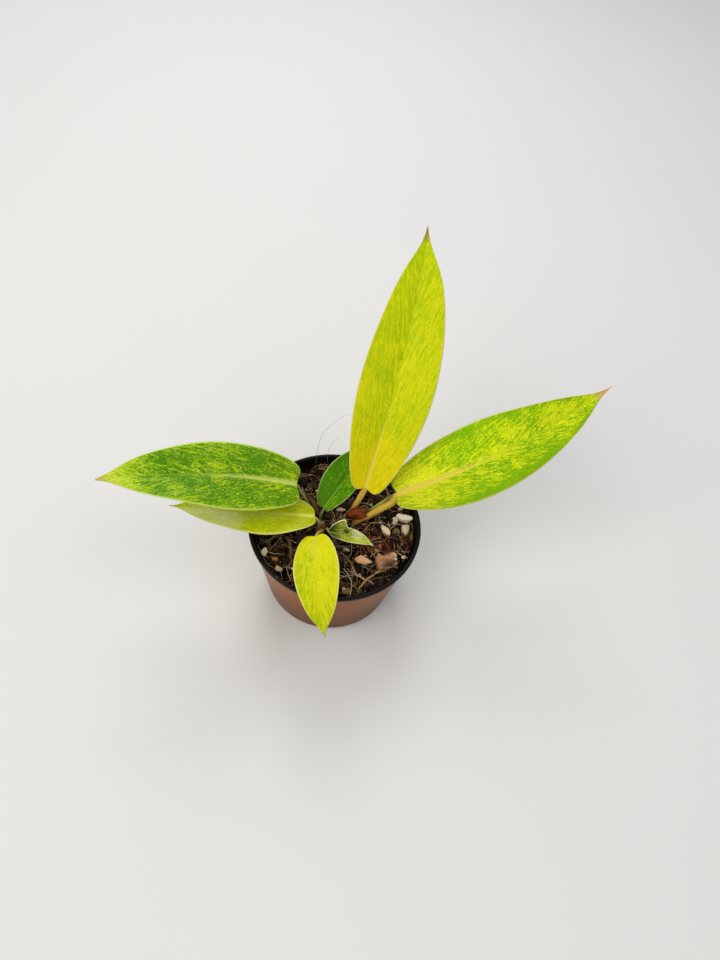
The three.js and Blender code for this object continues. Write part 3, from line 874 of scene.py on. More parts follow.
@dataclass
class Heap:
    """Many small loose pieces of one kind, gathered into one mesh."""

    points: list = field(default_factory=list)
    faces: list = field(default_factory=list)
    tints: list = field(default_factory=list)
    own: list = field(default_factory=list)
    count: int = 0

    def put(self, shape: Shape, tint: Colour | Array, own: Array | None = None) -> None:
        """Adds a piece.

        Args:
            shape: Its points and faces.
            tint: Its colour, or a colour for each point.
            own: Its points in its own frame, which its grain follows.
        """
        points, faces = shape
        self.points.append(points)
        self.faces += [[int(i) + self.count for i in face] for face in faces]
        self.tints.append(np.broadcast_to(tint, (len(points), 4)))
        self.own.append(points if own is None else own)
        self.count += len(points)

    def build(self, name: str, finish: LooseFinish) -> bpy.types.Object:
        """Makes the mesh of all its pieces."""
        fields = {"tint": np.vstack(self.tints), "own": np.vstack(self.own)}
        return make_piece(name, (np.vstack(self.points), self.faces), finish.material(), fields)


# Leaves

SPINE_STEPS = 80


@dataclass(frozen=True)
class Tear:
    """A torn left edge: where it starts, how soon it reaches its depth, and the width it loses."""

    at: float
    fall: float
    depth: float


@dataclass(frozen=True)
class Hole:
    """A hole through a blade: its place as a share of the length, and its size."""

    along: float
    across: float
    length: float
    width: float


@dataclass(frozen=True)
class LeafForm:
    """A leaf's driving sizes, which are the CAD leaf's.

    heading is the way that the blade grows, seen from above, from +X towards +Y, and turns by bend on
    the way to the tip. pitch and roll run from the base to the tip. left and right are half widths,
    fold lifts both halves from the midrib, and widest is where along the blade it is widest.
    """

    base: Point
    heading: float
    bend: float
    bend_power: float
    pitch: tuple[float, float]
    roll: tuple[float, float]
    length: float
    left: float
    right: float
    fold: float
    widest: float
    ripple: float
    waves: float
    stalk: tuple[Point, ...]
    stalk_radius: tuple[float, float]
    taper: float = 0.9
    lobe: float = 0.045
    drip: float = 0.65
    tear: Tear | None = None
    hole: Hole | None = None

    @property
    def half(self) -> float:
        """The wider of its two half widths."""
        return max(self.left, self.right)


class Spine:
    """The midrib's line through space, and the blade's directions on it."""

    def __init__(self, form: LeafForm) -> None:
        """Works out the line from the form's base to its tip.

        Args:
            form: The leaf's sizes.
        """
        self.form = form
        middles = (np.arange(SPINE_STEPS) + 0.5) / SPINE_STEPS
        steps = self.ways(middles)[0] * form.length / SPINE_STEPS
        self.points = np.vstack([form.base, np.array(form.base) + np.cumsum(steps, axis=0)])

    def ways(self, place: Array) -> tuple[Array, Array, Array]:
        """The blade's directions.

        Args:
            place: Shares of the length.

        Returns:
            Unit vectors along the midrib, across to its left, and out of the upper face.
        """
        form = self.form
        share = np.clip(place, 0, 1)
        turn = np.radians(form.heading + form.bend * share**form.bend_power)
        rise = np.radians(lerp(*form.pitch, share))
        tilt = np.radians(lerp(*form.roll, share))[..., None]
        ahead = [np.cos(rise) * np.cos(turn), np.cos(rise) * np.sin(turn), np.sin(rise)]
        along = np.stack(ahead, -1)
        level = np.stack([-np.sin(turn), np.cos(turn), 0 * turn], -1)
        across = level * np.cos(tilt) + np.cross(along, level) * np.sin(tilt)
        return along, across, np.cross(along, across)

    def at(self, place: Array) -> Array:
        """Points of the midrib, which is run straight on before the base.

        Args:
            place: Shares of the length.

        Returns:
            The points.
        """
        spot = np.clip(place, 0, 1) * SPINE_STEPS
        before = np.minimum(spot.astype(int), SPINE_STEPS - 1)
        part = (spot - before)[..., None]
        found = self.points[before] * (1 - part) + self.points[before + 1] * part
        behind = np.minimum(place, 0) * self.form.length
        return found + self.ways(place)[0] * behind[..., None]

    def blade(self, place: Array, across: Array, out: Array) -> Array:
        """Points of the folded and rippled blade.

        Args:
            place: Shares of the length.
            across: Lengths across the blade, more than 0 on the left half.
            out: Lengths out of its upper face.

        Returns:
            The points.
        """
        form = self.form
        _, sideways, outwards = self.ways(place)
        share = np.abs(across) / form.half
        lift = np.abs(across) * math.tan(math.radians(form.fold)) * (1 - 0.4 * share)
        phase = TURN * form.waves * place + np.where(across > 0, 0.0, 1.7)
        wave = form.ripple * share**2 * np.sin(phase)
        reach = (across * math.cos(math.radians(form.fold)))[..., None]
        return self.at(place) + sideways * reach + outwards * (lift + wave + out)[..., None]


@dataclass(frozen=True)
class Outline:
    """The outline that every blade has. Places along it are shares of the blade's length."""

    lobe_at: float = 0.05
    drip_reach: float = 0.11

    def at(self, t: Array, form: LeafForm) -> tuple[Array, Array]:
        """The outline's points.

        Args:
            t: Shares of the way along the edge.
            form: The leaf's sizes.

        Returns:
            How far along the blade they are, and their share of the half width.
        """
        rise = form.taper * form.widest / (1 - form.widest)
        full = form.widest**rise * (1 - form.widest) ** form.taper
        narrowed = 1 - form.drip * np.exp(-(((1 - t) / self.drip_reach) ** 2))
        place = t - form.lobe * (t / self.lobe_at) * np.exp(1 - t / self.lobe_at)
        return place, t**rise * (1 - t) ** form.taper / full * narrowed

    @staticmethod
    def kept(t: Array, tear: Tear) -> Array:
        """The share of its width that a torn edge keeps: all before the tear, less beyond it."""
        fallen = np.clip((t - tear.at) / tear.fall, 0, 1)
        return 1 - tear.depth * fallen**2 * (3 - 2 * fallen)


@dataclass
class Blade:
    """A leaf's blade: a thin sheet with sunken veins, a channelled midrib and rounded edges.

    row and column are the sizes of its cells. It thins from the middle to the rim, which starts at a
    share of the half width, and its underside has a share of the upper face's relief.
    """

    form: LeafForm
    row: float = 1.05 * MM
    column: float = 0.7 * MM
    crowding: float = 1.15
    middle: float = 0.56 * MM
    edge: float = 0.4 * MM
    rim: float = 0.14 * MM
    rim_from: float = 0.97
    quilt: float = 0.07 * MM
    vein_gap: float = 6 * MM
    vein_lean: float = 1.25
    vein_sweep: float = 1.3
    vein_fade: float = 3 * MM
    channel: float = 0.2 * MM
    channel_width: float = 0.8 * MM
    unevenness: float = 0.22 * MM
    lump: float = 14 * MM
    under_share: float = 0.7
    streak_lean: float = 20.0
    seed: int = 3

    def vein_line(self, u: Array, across: Array) -> Array:
        """Where on the midrib the lateral vein through a point starts, as a length."""
        reach = np.abs(across)
        return u - self.vein_lean * reach - self.vein_sweep * reach**2 / (2 * self.form.half)

    def streaks(self, u: Array, across: Array) -> Array:
        """The streak lines, which bend towards the tip.

        Args:
            u: Lengths along the blade.
            across: Lengths across it.

        Returns:
            Each point's place along and across them, and a number for its half of the blade.
        """
        lean = math.radians(self.streak_lean)
        reach = np.abs(across)
        along = u * math.cos(lean) + reach * math.sin(lean)
        aside = reach * math.cos(lean) * (1 + 0.5 * reach / self.form.half) - u * math.sin(lean)
        return np.stack([along, aside, np.sign(across) + 3 * self.seed], 1)

    def relief(self, place: Array, across: Array) -> Array:
        """The upper face's relief.

        Args:
            place: Shares of the length.
            across: Lengths across the blade.

        Returns:
            How far it stands out of the plain sheet.
        """
        share = np.abs(across) / self.form.half
        u = place * self.form.length
        swing = np.cos(TURN * self.vein_line(u, across) / self.vein_gap)
        fade = np.clip(np.abs(across) / self.vein_fade, 0, 1) * (1 - share**4) * np.clip(4 - 4 * place, 0, 1)
        channel = np.exp(-((across / self.channel_width) ** 2)) * np.clip(5 * place, 0, 1)
        uneven = Grain(self.seed).at(u + 0.3, across, self.lump) * share
        return uneven * self.unevenness - self.quilt * swing * fade - self.channel * channel

    def sheet(self, rows: int, wing: int) -> tuple[Array, Array, Array]:
        """The blade's points on its outline, from the base row by row to the tip.

        Args:
            rows: The number of rows of cells.
            wing: The number of cells across each half.

        Returns:
            Each point's share of the length, its length across and its share of the half width.
        """
        form = self.form
        even = np.arange(1, rows) / rows
        t = 0.4 * even + 0.3 * (1 - np.cos(math.pi * even))
        edge_place, width = Outline().at(t, form)
        shares = np.linspace(-1, 1, 2 * wing + 1)
        shares = np.sign(shares) * np.abs(shares) ** self.crowding
        sides = np.where(shares > 0, form.left, form.right)[None, :] * np.ones_like(t)[:, None]
        if form.tear:
            kept = Outline.kept(t, form.tear)[:, None]
            sides = np.where(shares[None, :] > 0, sides * kept, sides)
        place = t[:, None] + (edge_place - t)[:, None] * np.abs(shares)[None, :]
        across = shares[None, :] * sides * width[:, None]
        grids = ((place, 1.0), (across, 0.0), (np.tile(np.abs(shares), rows - 1), 1.0))
        return tuple(np.concatenate([[0.0], grid.ravel(), [tip]]) for grid, tip in grids)

    def build(self, name: str, material: bpy.types.Material) -> bpy.types.Object:
        """Makes the blade.

        Args:
            name: Its name.
            material: Its finish.

        Returns:
            The object.
        """
        form = self.form
        rows = max(24, round(form.length / self.row))
        columns = 2 * max(8, round(form.half / self.column))
        place, across, share = self.sheet(rows, columns // 2)
        count = len(place)

        def number(i: int, j: int) -> int:
            """The number of the point in a row and column."""
            return 0 if i == 0 else count - 1 if i == rows else 1 + (i - 1) * (columns + 1) + j

        cells = []
        for i in range(rows):
            for j in range(columns):
                ring = [number(i, j), number(i + 1, j), number(i + 1, j + 1), number(i, j + 1)]
                cells.append(list(dict.fromkeys(ring)))
        rim = [(number(i, columns), number(i + 1, columns)) for i in range(rows)]
        rim += [(number(i + 1, 0), number(i, 0)) for i in range(rows)]
        if form.hole:
            cells, lips = self.cut_hole(cells, place, across)
            rim += lips
        thick = np.where(share > self.rim_from, self.rim, lerp(self.middle, self.edge, share)) / 2
        top = Spine(form).blade(place, across, self.relief(place, across) + thick)
        under = Spine(form).blade(place, across, self.under_share * self.relief(place, across) - thick)
        faces = cells + [[i + count for i in reversed(cell)] for cell in cells]
        faces += [[a, b, b + count, a + count] for a, b in rim]
        u = place * form.length
        flat = np.stack([u, across, 0 * u + self.seed], 1)
        leaf = [np.stack([place, share, 0 * u + side], 1) for side in (1, -1)]
        fields = {
            "streak": np.tile(self.streaks(u, across), (2, 1)),
            "flat": np.tile(flat, (2, 1)),
            "leaf": np.vstack(leaf),
        }
        return make_piece(name, (np.vstack([top, under]), faces), material, fields)

    def cut_hole(self, cells: list, place: Array, across: Array) -> tuple[list, list]:
        """Takes the cells of a hole out, and moves the points round it on to its edge.

        Args:
            cells: The sheet's cells.
            place: Each point's share of the length, which is changed.
            across: Each point's length across, which is changed.

        Returns:
            The cells that are left, and the edges round the hole.
        """
        hole = self.form.hole
        long = (place - hole.along) * self.form.length / (hole.length / 2)
        wide = (across - hole.across) / (hole.width / 2)
        reach = np.hypot(long, wide)
        gone = [cell for cell in cells if np.mean(reach[cell]) < 1]
        kept = [cell for cell in cells if np.mean(reach[cell]) >= 1]
        edges = {(a, b) for cell in gone for a, b in zip(cell, cell[1:] + cell[:1])}
        lips = [(a, b) for a, b in edges if (b, a) not in edges]
        for i in {point for lip in lips for point in lip}:
            place[i] = hole.along + long[i] / reach[i] * hole.length / 2 / self.form.length
            across[i] = hole.across + wide[i] / reach[i] * hole.width / 2
        return kept, sorted(lips)


@dataclass
class Stalk:
    """A leaf's stalk, from its foot in the mix up to the blade, run on under it as its midrib.

    neck is the midrib's width at the base over the stalk's. seats is how deep the midrib lies under
    the blade at its base and beyond, as shares of its radius.
    """

    form: LeafForm
    sides: int = 14
    steps: int = 7
    neck: float = 0.8
    rib_share: float = 0.92
    rib_gap: float = 12 * MM
    rib_tip: float = 0.22 * MM
    rib_taper: float = 0.8
    rib_dive: float = 6.0
    seats: tuple[float, float] = (0.85, 1.2)
    swelling: float = 0.03

    def build(self, name: str, material: bpy.types.Material) -> bpy.types.Object:
        """Makes the stalk.

        Args:
            name: Its name.
            material: Its finish.

        Returns:
            The object.
        """
        form = self.form
        spine = Spine(form)
        foot, head = form.stalk_radius
        knots = [list(p) for p in form.stalk]
        radii = [lerp(foot, head, i / len(knots)) for i in range(len(knots))]
        ribs = math.ceil(form.length / self.rib_gap)
        for share in (0, 0.25 / ribs, *np.arange(1, ribs + 1) / ribs):
            radius = lerp(self.neck * head, self.rib_tip, share**self.rib_taper)
            place = np.array(self.rib_share * share)
            seat = lerp(*self.seats, min(1, self.rib_dive * share))
            knots.append(list(spine.at(place) - seat * radius * spine.ways(place)[2]))
            radii.append(radius)
        path = smooth_path(knots, self.steps)
        spots = np.linspace(0, len(knots) - 1, len(path))
        radius = np.interp(spots, np.arange(len(radii)), radii)
        joint = len(form.stalk)
        radius *= 1 + self.swelling * np.exp(-(((spots - joint + 0.3) / 0.5) ** 2))
        shape = tube(path, radius, self.sides)
        fields = skin_fields(shape[0], path, radius, np.clip(spots / joint, 0, 1))
        return make_piece(name, shape, material, fields)


@dataclass
class Leaf:
    """A whole leaf, which replaces its CAD node."""

    name: str
    form: LeafForm
    blade_finish: LeafFinish | DryFinish
    stalk_finish: StalkFinish
    slot: Slot
    blade_sizes: dict = field(default_factory=dict)

    def build(self) -> None:
        """Makes the blade and the stalk."""
        material = self.blade_finish.material()
        blade = Blade(self.form, **self.blade_sizes).build(f"{self.name}.blade", material)
        settle(blade, self.slot, self.name)
        stalk = Stalk(self.form).build(f"{self.name}.stalk", self.stalk_finish.material())
        settle(stalk, self.slot, self.name)


YELLOW_STALK = StalkFinish("stalk_yellow", "#b0622a", "#d0aa46", "#8a5424", lined=0.35)
BANDED_STALK = StalkFinish("stalk_banded", "#8c602a", "#c09e30", "#7a4a20", "#dcc468", lined=0.5)
OLIVE_STALK = StalkFinish("stalk_olive", "#86683e", "#a49a58", "#5c4a2a", lined=0.25)
TAN_STALK = StalkFinish("stalk_tan", "#9a6848", "#8c8244", "#5c3a24")
GREEN_STALK = StalkFinish("stalk_green", "#6a5236", "#7a7a40", "#3c3018")
DRY_STALK = StalkFinish("stalk_dry", "#5a3a20", "#8a5f36", "#4a2c18", gloss=0.6)

# A positive half shade paints a blade's left half darker near its base, and a negative one paints it
# lighter.
BLADE_TALL = LeafFinish(
    "blade_tall", green="#a0bc04", yellow="#d2d20c", base_gold_and_shade="#dcbe02", pale="#e8e634",
    midrib="#e0cc54", margin="#dccf86", tip="#8c5a44", pales=0.35, gilded=0.55,
    golds=0.2, fine=0.04, soft=0.14, rib_end=0.34, rib_width=0.85 * MM, margin_from=0.955, tip_from=0.94,
    zones=Zones(base=0.06, end=-0.04, edge=0.01, left=-0.02, painted_half_shade=0.1,
                spots=(Spot(*mm(60, -7, 12), 0.06), Spot(*mm(48, 15, 10), 0.08))),
)
BLADE_RIGHT = LeafFinish(
    "blade_right", green="#6e9e02", yellow="#bcca0a", base_gold_and_shade="#d0b62c", pale="#dcdf38",
    midrib="#dcc052", margin="#cfc06c", tip="#c08a68", yellowness=-0.04, pales=0.45, gilded=0.2,
    rib_end=0.55, rib_width=1.9 * MM, margin_from=0.955, tip_from=0.91,
    zones=Zones(base=0.06, end=0.06, middle=0.03, edge=-0.08, left=0.03, painted_half_shade=-0.22, spots=(
        Spot(*mm(56, 0, 6), 0.07), Spot(*mm(66, 9, 6), 0.06),
        Spot(*mm(18, -8, 15), 0.06), Spot(*mm(62, -9, 5), 0.07))),
)
BLADE_UPPER_LEFT = LeafFinish(
    "blade_upper_left", green="#427a06", yellow="#90b30e", base_gold_and_shade="#c6cc14", pale="#ccd660",
    midrib="#c6ce64", margin="#c4d85c", tip="#c88e60", yellowness=-0.03, pales=0.6, gilded=0.05,
    golds=0.45, fine=0.34, rib_end=0.62, rib_width=1.5 * MM, margin_from=0.94, specular=0.1,
    zones=Zones(base=-0.01, end=0.22, end_from=0.7, edge=0.02),
)
# Its glare patches paint a greyish highlight over the outer half of the blade.
BLADE_LOWER_LEFT = LeafFinish(
    "blade_lower_left", green="#a0b404", yellow="#c6ca14", base_gold_and_shade="#949604", pale="#dce04c",
    midrib="#d0d458", margin="#d0d07c", tip="#8f7a48", pales=0.25, gilded=0.6, golds=0, rib_end=0.5,
    rib_width=1.1 * MM, margin_from=0.93, gloss=0.26, specular=0.2, zones=Zones(base=-0.02),
    painted_glares=(Spot(*mm(54, 4, 14), 0.45), Spot(*mm(43, 7, 8), 0.4)),
)
BLADE_BACK = LeafFinish(
    "blade_back_small", green="#3c7004", yellow="#6ca00c", base_gold_and_shade="#6c8c0c", pale="#8fae2a",
    midrib="#7e983a", margin="#a4b06c", tip="#8a6a45", yellowness=-0.01, pales=0.15, gilded=0.15,
    rib_end=0.8, rib_width=0.5 * MM, margin_from=0.93, specular=0.05,
    zones=Zones(base=-0.02, left=-0.07),
)
BLADE_FRONT = LeafFinish(
    "blade_front", green="#95a704", yellow="#c1c20c", base_gold_and_shade="#c5ba0a", pale="#d1d43c",
    midrib="#c8bc44", margin="#dcd880", tip="#a87c50", yellowness=0.02, pales=0.35, gilded=0.35,
    fine=0.1, soft=0.12, rib_width=0.8 * MM, margin_from=0.93,
    zones=Zones(base=0.06, end=-0.1, middle=0.07, left=0.05, painted_half_shade=-0.06),
)
# The torn blade's dark olive base tint paints shade over its base, and its glare paints a highlight.
BLADE_TORN = LeafFinish(
    "blade_torn", green="#546c06", yellow="#acb234", base_gold_and_shade="#2a3404", pale="#d0d494",
    midrib="#8c9434", margin="#f0e4b8", tip="#ecdcc0", pales=0.3, gilded=0.95,
    golds=0, soft=0.12, rib_width=0.4 * MM, margin_from=0.9, tip_from=0.9, gloss=0.26,
    painted_glare="#e4e8bc", painted_glares=(Spot(*mm(14, 1.4, 3.6), 0.4),),
    zones=Zones(base=-0.1, end=0.3, end_from=0.35),
)


def leaves() -> list[Leaf]:
    """The seven leaves and the two dried sheaths, which have the shape of small leaves.

    Returns:
        The leaves and sheaths.
    """
    tall = LeafForm(
        base=mm(13, 11.2, 72), heading=76, bend=17, bend_power=2, pitch=(52, 40), roll=(5, 2),
        length=132.5 * MM, left=18.3 * MM, right=20 * MM, fold=11, widest=0.41,
        ripple=0.5 * MM, waves=2.5,
        stalk=(mm(7.2, 9.5, 41), mm(7.2, 9.5, 48), mm(8.2, 9.9, 53), mm(9.5, 10, 58),
               mm(11.2, 10.2, 65)),
        stalk_radius=mm(1.2, 1.7),
    )
    right = LeafForm(
        base=mm(29.8, 13.3, 68), heading=16.5, bend=20, bend_power=1, pitch=(19.5, 25.5), roll=(11, 12),
        length=123.5 * MM, left=21.3 * MM, right=20.3 * MM, fold=11, widest=0.36,
        ripple=0.5 * MM, waves=2.5, taper=1.12,
        stalk=(mm(9.4, 3.9, 41), mm(9.4, 3.9, 47.6), mm(12.6, 4, 53), mm(16.9, 4.8, 56.8),
               mm(22.6, 7, 61.2), mm(28, 9.6, 65)),
        stalk_radius=mm(1.5, 1.9),
    )
    upper_left = LeafForm(
        base=mm(-22, 8, 72), heading=194.5, bend=3, bend_power=1, pitch=(24, -1), roll=(-19, 3),
        length=97.5 * MM, left=19.6 * MM, right=17.6 * MM, fold=13, widest=0.37,
        ripple=0.5 * MM, waves=2, taper=0.8, drip=0.5,
        stalk=(mm(-10.9, 2.4, 41), mm(-10.9, 2.4, 48), mm(-12.2, 5.2, 51.2), mm(-14.6, 8.1, 54.4),
               mm(-17.6, 9.6, 59), mm(-20, 9.6, 64.5)),
        stalk_radius=mm(1, 0.8),
    )
    lower_left = LeafForm(
        base=mm(-10.9, -2.2, 60), heading=191.5, bend=-8, bend_power=1, pitch=(11, 1), roll=(7, -1),
        length=73 * MM, left=14.6 * MM, right=14.4 * MM, fold=11, widest=0.37,
        ripple=0.4 * MM, waves=2, taper=1.12, lobe=0.03,
        stalk=(mm(-8.6, -3.2, 41), mm(-8.6, -3.2, 49), mm(-8.2, -3.7, 54.6), mm(-8.9, -3.5, 58.4)),
        stalk_radius=mm(1.1, 0.8),
    )
    back_small = LeafForm(
        base=mm(-6.9, 6.7, 55.8), heading=54, bend=1, bend_power=1, pitch=(36, 26), roll=(0, 8),
        length=42 * MM, left=11.3 * MM, right=8.4 * MM, fold=12, widest=0.42,
        ripple=0.2 * MM, waves=2, drip=0.5,
        stalk=(mm(-8.1, 3, 41), mm(-8.1, 3, 49), mm(-8, 4.2, 52.6)),
        stalk_radius=mm(1, 0.75),
    )
    front = LeafForm(
        base=mm(-9.3, -14.2, 60), heading=-84, bend=13, bend_power=1, pitch=(19.5, -26), roll=(16, 11),
        length=55 * MM, left=11.5 * MM, right=11.3 * MM, fold=9, widest=0.39,
        ripple=0.3 * MM, waves=2,
        stalk=(mm(-5.9, -3.7, 41), mm(-5.9, -3.7, 49), mm(-6.5, -6.8, 54.2), mm(-8.1, -11, 58.2)),
        stalk_radius=mm(1.1, 0.8),
    )
    torn = LeafForm(
        base=mm(-2.3, -7.4, 55), heading=-0.5, bend=-12, bend_power=1, pitch=(12, -28), roll=(26, 12),
        length=24.6 * MM, left=8.5 * MM, right=4.2 * MM, fold=20, widest=0.42,
        ripple=0.2 * MM, waves=1.5, taper=1.1, lobe=0.03, drip=0.35,
        stalk=(mm(-3.9, -1.8, 41), mm(-3.9, -1.8, 49), mm(-3.5, -4.2, 52.8)),
        stalk_radius=mm(0.9, 0.6),
        tear=Tear(at=0.27, fall=0.1, depth=0.56),
        hole=Hole(along=0.34, across=1.5 * MM, length=3.2 * MM, width=1.9 * MM),
    )
    brown = LeafForm(
        base=mm(-10, 6.7, 51.6), heading=144, bend=4, bend_power=1, pitch=(52, 44), roll=(12, 0),
        length=13 * MM, left=2.4 * MM, right=2.2 * MM, fold=24, widest=0.35, ripple=0, waves=1,
        stalk=(mm(-9.4, 6.3, 43), mm(-9.4, 6.3, 47), mm(-9.5, 6.4, 49.4)),
        stalk_radius=mm(0.9, 0.7),
    )
    red = LeafForm(
        base=mm(4.9, 5.6, 54.2), heading=3, bend=8, bend_power=1, pitch=(14, 2), roll=(26, 30),
        length=10.6 * MM, left=2.2 * MM, right=1.25 * MM, fold=-22, widest=0.5, ripple=0, waves=1,
        taper=0.6, drip=0.2,
        stalk=(mm(4.9, 4.9, 43), mm(4.9, 4.9, 47), mm(4.5, 5.2, 50.8)),
        stalk_radius=mm(0.7, 0.6),
    )
    fine = {"row": 0.5 * MM, "column": 0.4 * MM, "vein_gap": 3.5 * MM, "quilt": 0.05 * MM, "seed": 8}
    dry = {"row": 0.3 * MM, "column": 0.25 * MM, "quilt": 0.0, "unevenness": 0.3 * MM, "channel": 0.0}
    return [
        Leaf("leaf_tall", tall, BLADE_TALL, YELLOW_STALK, Slot.LEAF_YELLOW,
             {"streak_lean": 15.0, "seed": 3}),
        Leaf("leaf_right", right, BLADE_RIGHT, BANDED_STALK, Slot.LEAF_YELLOW,
             {"streak_lean": 22.0, "seed": 4}),
        Leaf("leaf_upper_left", upper_left, BLADE_UPPER_LEFT, OLIVE_STALK, Slot.LEAF_GREEN,
             {"streak_lean": 24.0, "seed": 5}),
        Leaf("leaf_lower_left", lower_left, BLADE_LOWER_LEFT, TAN_STALK, Slot.LEAF_YELLOW,
             {"streak_lean": 18.0, "seed": 6}),
        Leaf("leaf_back_small", back_small, BLADE_BACK, GREEN_STALK, Slot.LEAF_GREEN,
             {"vein_gap": 4 * MM, "seed": 7}),
        Leaf("leaf_front", front, BLADE_FRONT, TAN_STALK, Slot.LEAF_YELLOW,
             {"vein_gap": 4 * MM, "streak_lean": 16.0, "seed": 9}),
        Leaf("leaf_torn", torn, BLADE_TORN, GREEN_STALK, Slot.LEAF_GREEN, fine),
        Leaf("sheath_brown", brown, DryFinish("sheath_dry", "#80562a", "#38260a", 0.55),
             DRY_STALK, Slot.SHEATH, dry),
        Leaf("cataphyll_red", red, DryFinish("cataphyll_dry", "#6c2c0a", "#2c0e04", 0.45),
             DRY_STALK, Slot.SHEATH, dry),
    ]


@dataclass
class Hood:
    """The crumpled hood of the red-brown sheath, wrapped over the feet of the two right stalks.

    It is a part of a tube round a line, swept between two angles, from its top towards the front, and
    width is about how wide it is laid flat. Its folds are drawn out along the line, and its ends are
    ragged by a share of its length.
    """

    start: Point = mm(6.9, 6.8, 53.2)
    end: Point = mm(15.8, 5.9, 57.6)
    radii: tuple[float, ...] = mm(1.6, 2.6, 2.9, 2.9, 2.7, 2.3, 1.7)
    sweep: tuple[float, float] = (-75.0, 112.0)
    width: float = 9 * MM
    thickness: float = 0.3 * MM
    folds: float = 0.42 * MM
    fold_size: float = 1.5 * MM
    drawn_out: float = 0.22
    crumples: float = 0.336 * MM
    crumple_size: float = 4 * MM
    ragged: float = 0.1
    ragged_size: float = 1.6 * MM
    rows: int = 70
    columns: int = 60
    seed: int = 12

    def build(self, material: bpy.types.Material) -> None:
        """Makes the hood.

        Args:
            material: Its finish.
        """
        shares = (np.linspace(0, 1, number) for number in (self.rows, self.columns))
        u, v = (grid.ravel() for grid in np.meshgrid(*shares, indexing="ij"))
        start, end = np.array(self.start), np.array(self.end)
        length = np.linalg.norm(end - start)
        ahead = (end - start) / length
        front = np.cross(ahead, [0, 0, 1])
        front /= np.linalg.norm(front)
        top = np.cross(front, ahead)
        grain = Grain(self.seed)
        aside = v * self.width
        radius = np.interp(u, np.linspace(0, 1, len(self.radii)), self.radii)
        radius += self.folds * grain.layers(u * length * self.drawn_out, aside, self.fold_size, 3)
        radius += self.crumples * grain.layers(u * length + 0.2, aside, self.crumple_size, 2)
        reach = u * (1 + self.ragged * grain.layers(aside, 0 * v, self.ragged_size, 3))
        turn = np.radians(lerp(*self.sweep, v))
        out = np.cos(turn)[:, None] * top + np.sin(turn)[:, None] * front
        middle = start + reach[:, None] * (end - start)
        shell = [middle + (radius + push)[:, None] * out for push in (self.thickness, 0.0)]
        numbers = np.arange(len(u)).reshape(self.rows, self.columns)
        corners = (numbers[:-1, :-1], numbers[:-1, 1:], numbers[1:, 1:], numbers[1:, :-1])
        cells = np.stack(corners, -1).reshape(-1, 4)
        faces = cells.tolist() + (cells[:, ::-1] + len(u)).tolist()
        sides = (numbers[0], numbers[1:, -1], numbers[-1, -2::-1], numbers[-2:0:-1, 0])
        ring = np.concatenate(sides).tolist()
        faces += [[b, a, a + len(u), b + len(u)] for a, b in zip(ring, ring[1:] + ring[:1])]
        flat = np.stack([u * length, aside, 0 * u + self.seed], 1)
        leaf = np.stack([0.6 * u, 0 * u, 0 * u], 1)
        fields = {"flat": np.tile(flat, (2, 1)), "leaf": np.tile(leaf, (2, 1))}
        piece = make_piece("cataphyll_red.hood", (np.vstack(shell), faces), material, fields)
        settle(piece, Slot.SHEATH, "cataphyll_red")


@dataclass
class Stem:
    """A short stem or shoot that replaces its CAD node."""

    name: str
    path: tuple[Point, ...]
    radii: tuple[float, ...]
    finish: StalkFinish
    ring_height: float = 0.06
    ring_gap: float = 1.6 * MM
    sides: int = 20
    steps: int = 9

    def build(self) -> None:
        """Makes the stem, with the faint rings of the leaves that it has dropped."""
        path = smooth_path(self.path, self.steps)
        spots = np.linspace(0, len(self.path) - 1, len(path))
        radius = np.interp(spots, np.arange(len(self.radii)), self.radii)
        rings = np.abs(np.sin(math.pi * run_of(path) / self.ring_gap)) ** 8
        radius *= 1 + self.ring_height * rings
        shape = tube(path, radius, self.sides)
        fields = skin_fields(shape[0], path, radius, spots / spots[-1])
        piece = make_piece(f"{self.name}.skin", shape, self.finish.material(), fields)
        settle(piece, Slot.STEM, self.name)


STEMS = (
    Stem("stem_left", (mm(-6.9, -0.2, 41), mm(-6.9, -0.2, 47), mm(-6.8, -0.1, 50), mm(-6.6, 0.1, 52)),
         mm(1.8, 2, 1.8, 1), StalkFinish("stem_olive", "#4c3820", "#77643a", "#3a2a18", gloss=0.6)),
    Stem("stem_right", (mm(11.3, 12, 41), mm(11.3, 12, 46), mm(11.3, 12, 48.8), mm(11.4, 12, 50.3)),
         mm(1.6, 1.8, 1.6, 0.9), StalkFinish("stem_brown", "#4a3018", "#7c5a34", "#3a2414", gloss=0.6)),
    Stem("young_shoot", (mm(13.2, 8.4, 41), mm(13.2, 8.4, 48), mm(16.4, 8.8, 53.5), mm(20.2, 10.6, 57),
                         mm(24.5, 13, 60.5), mm(29, 15.6, 64.2)),
         mm(1.2, 1.4, 1.3, 1.2, 1, 0.5),
         StalkFinish("shoot_olive", "#5c4e1e", "#8a8a34", "#545018", "#b4b468", 0.4), 0.0),
)


# The pot


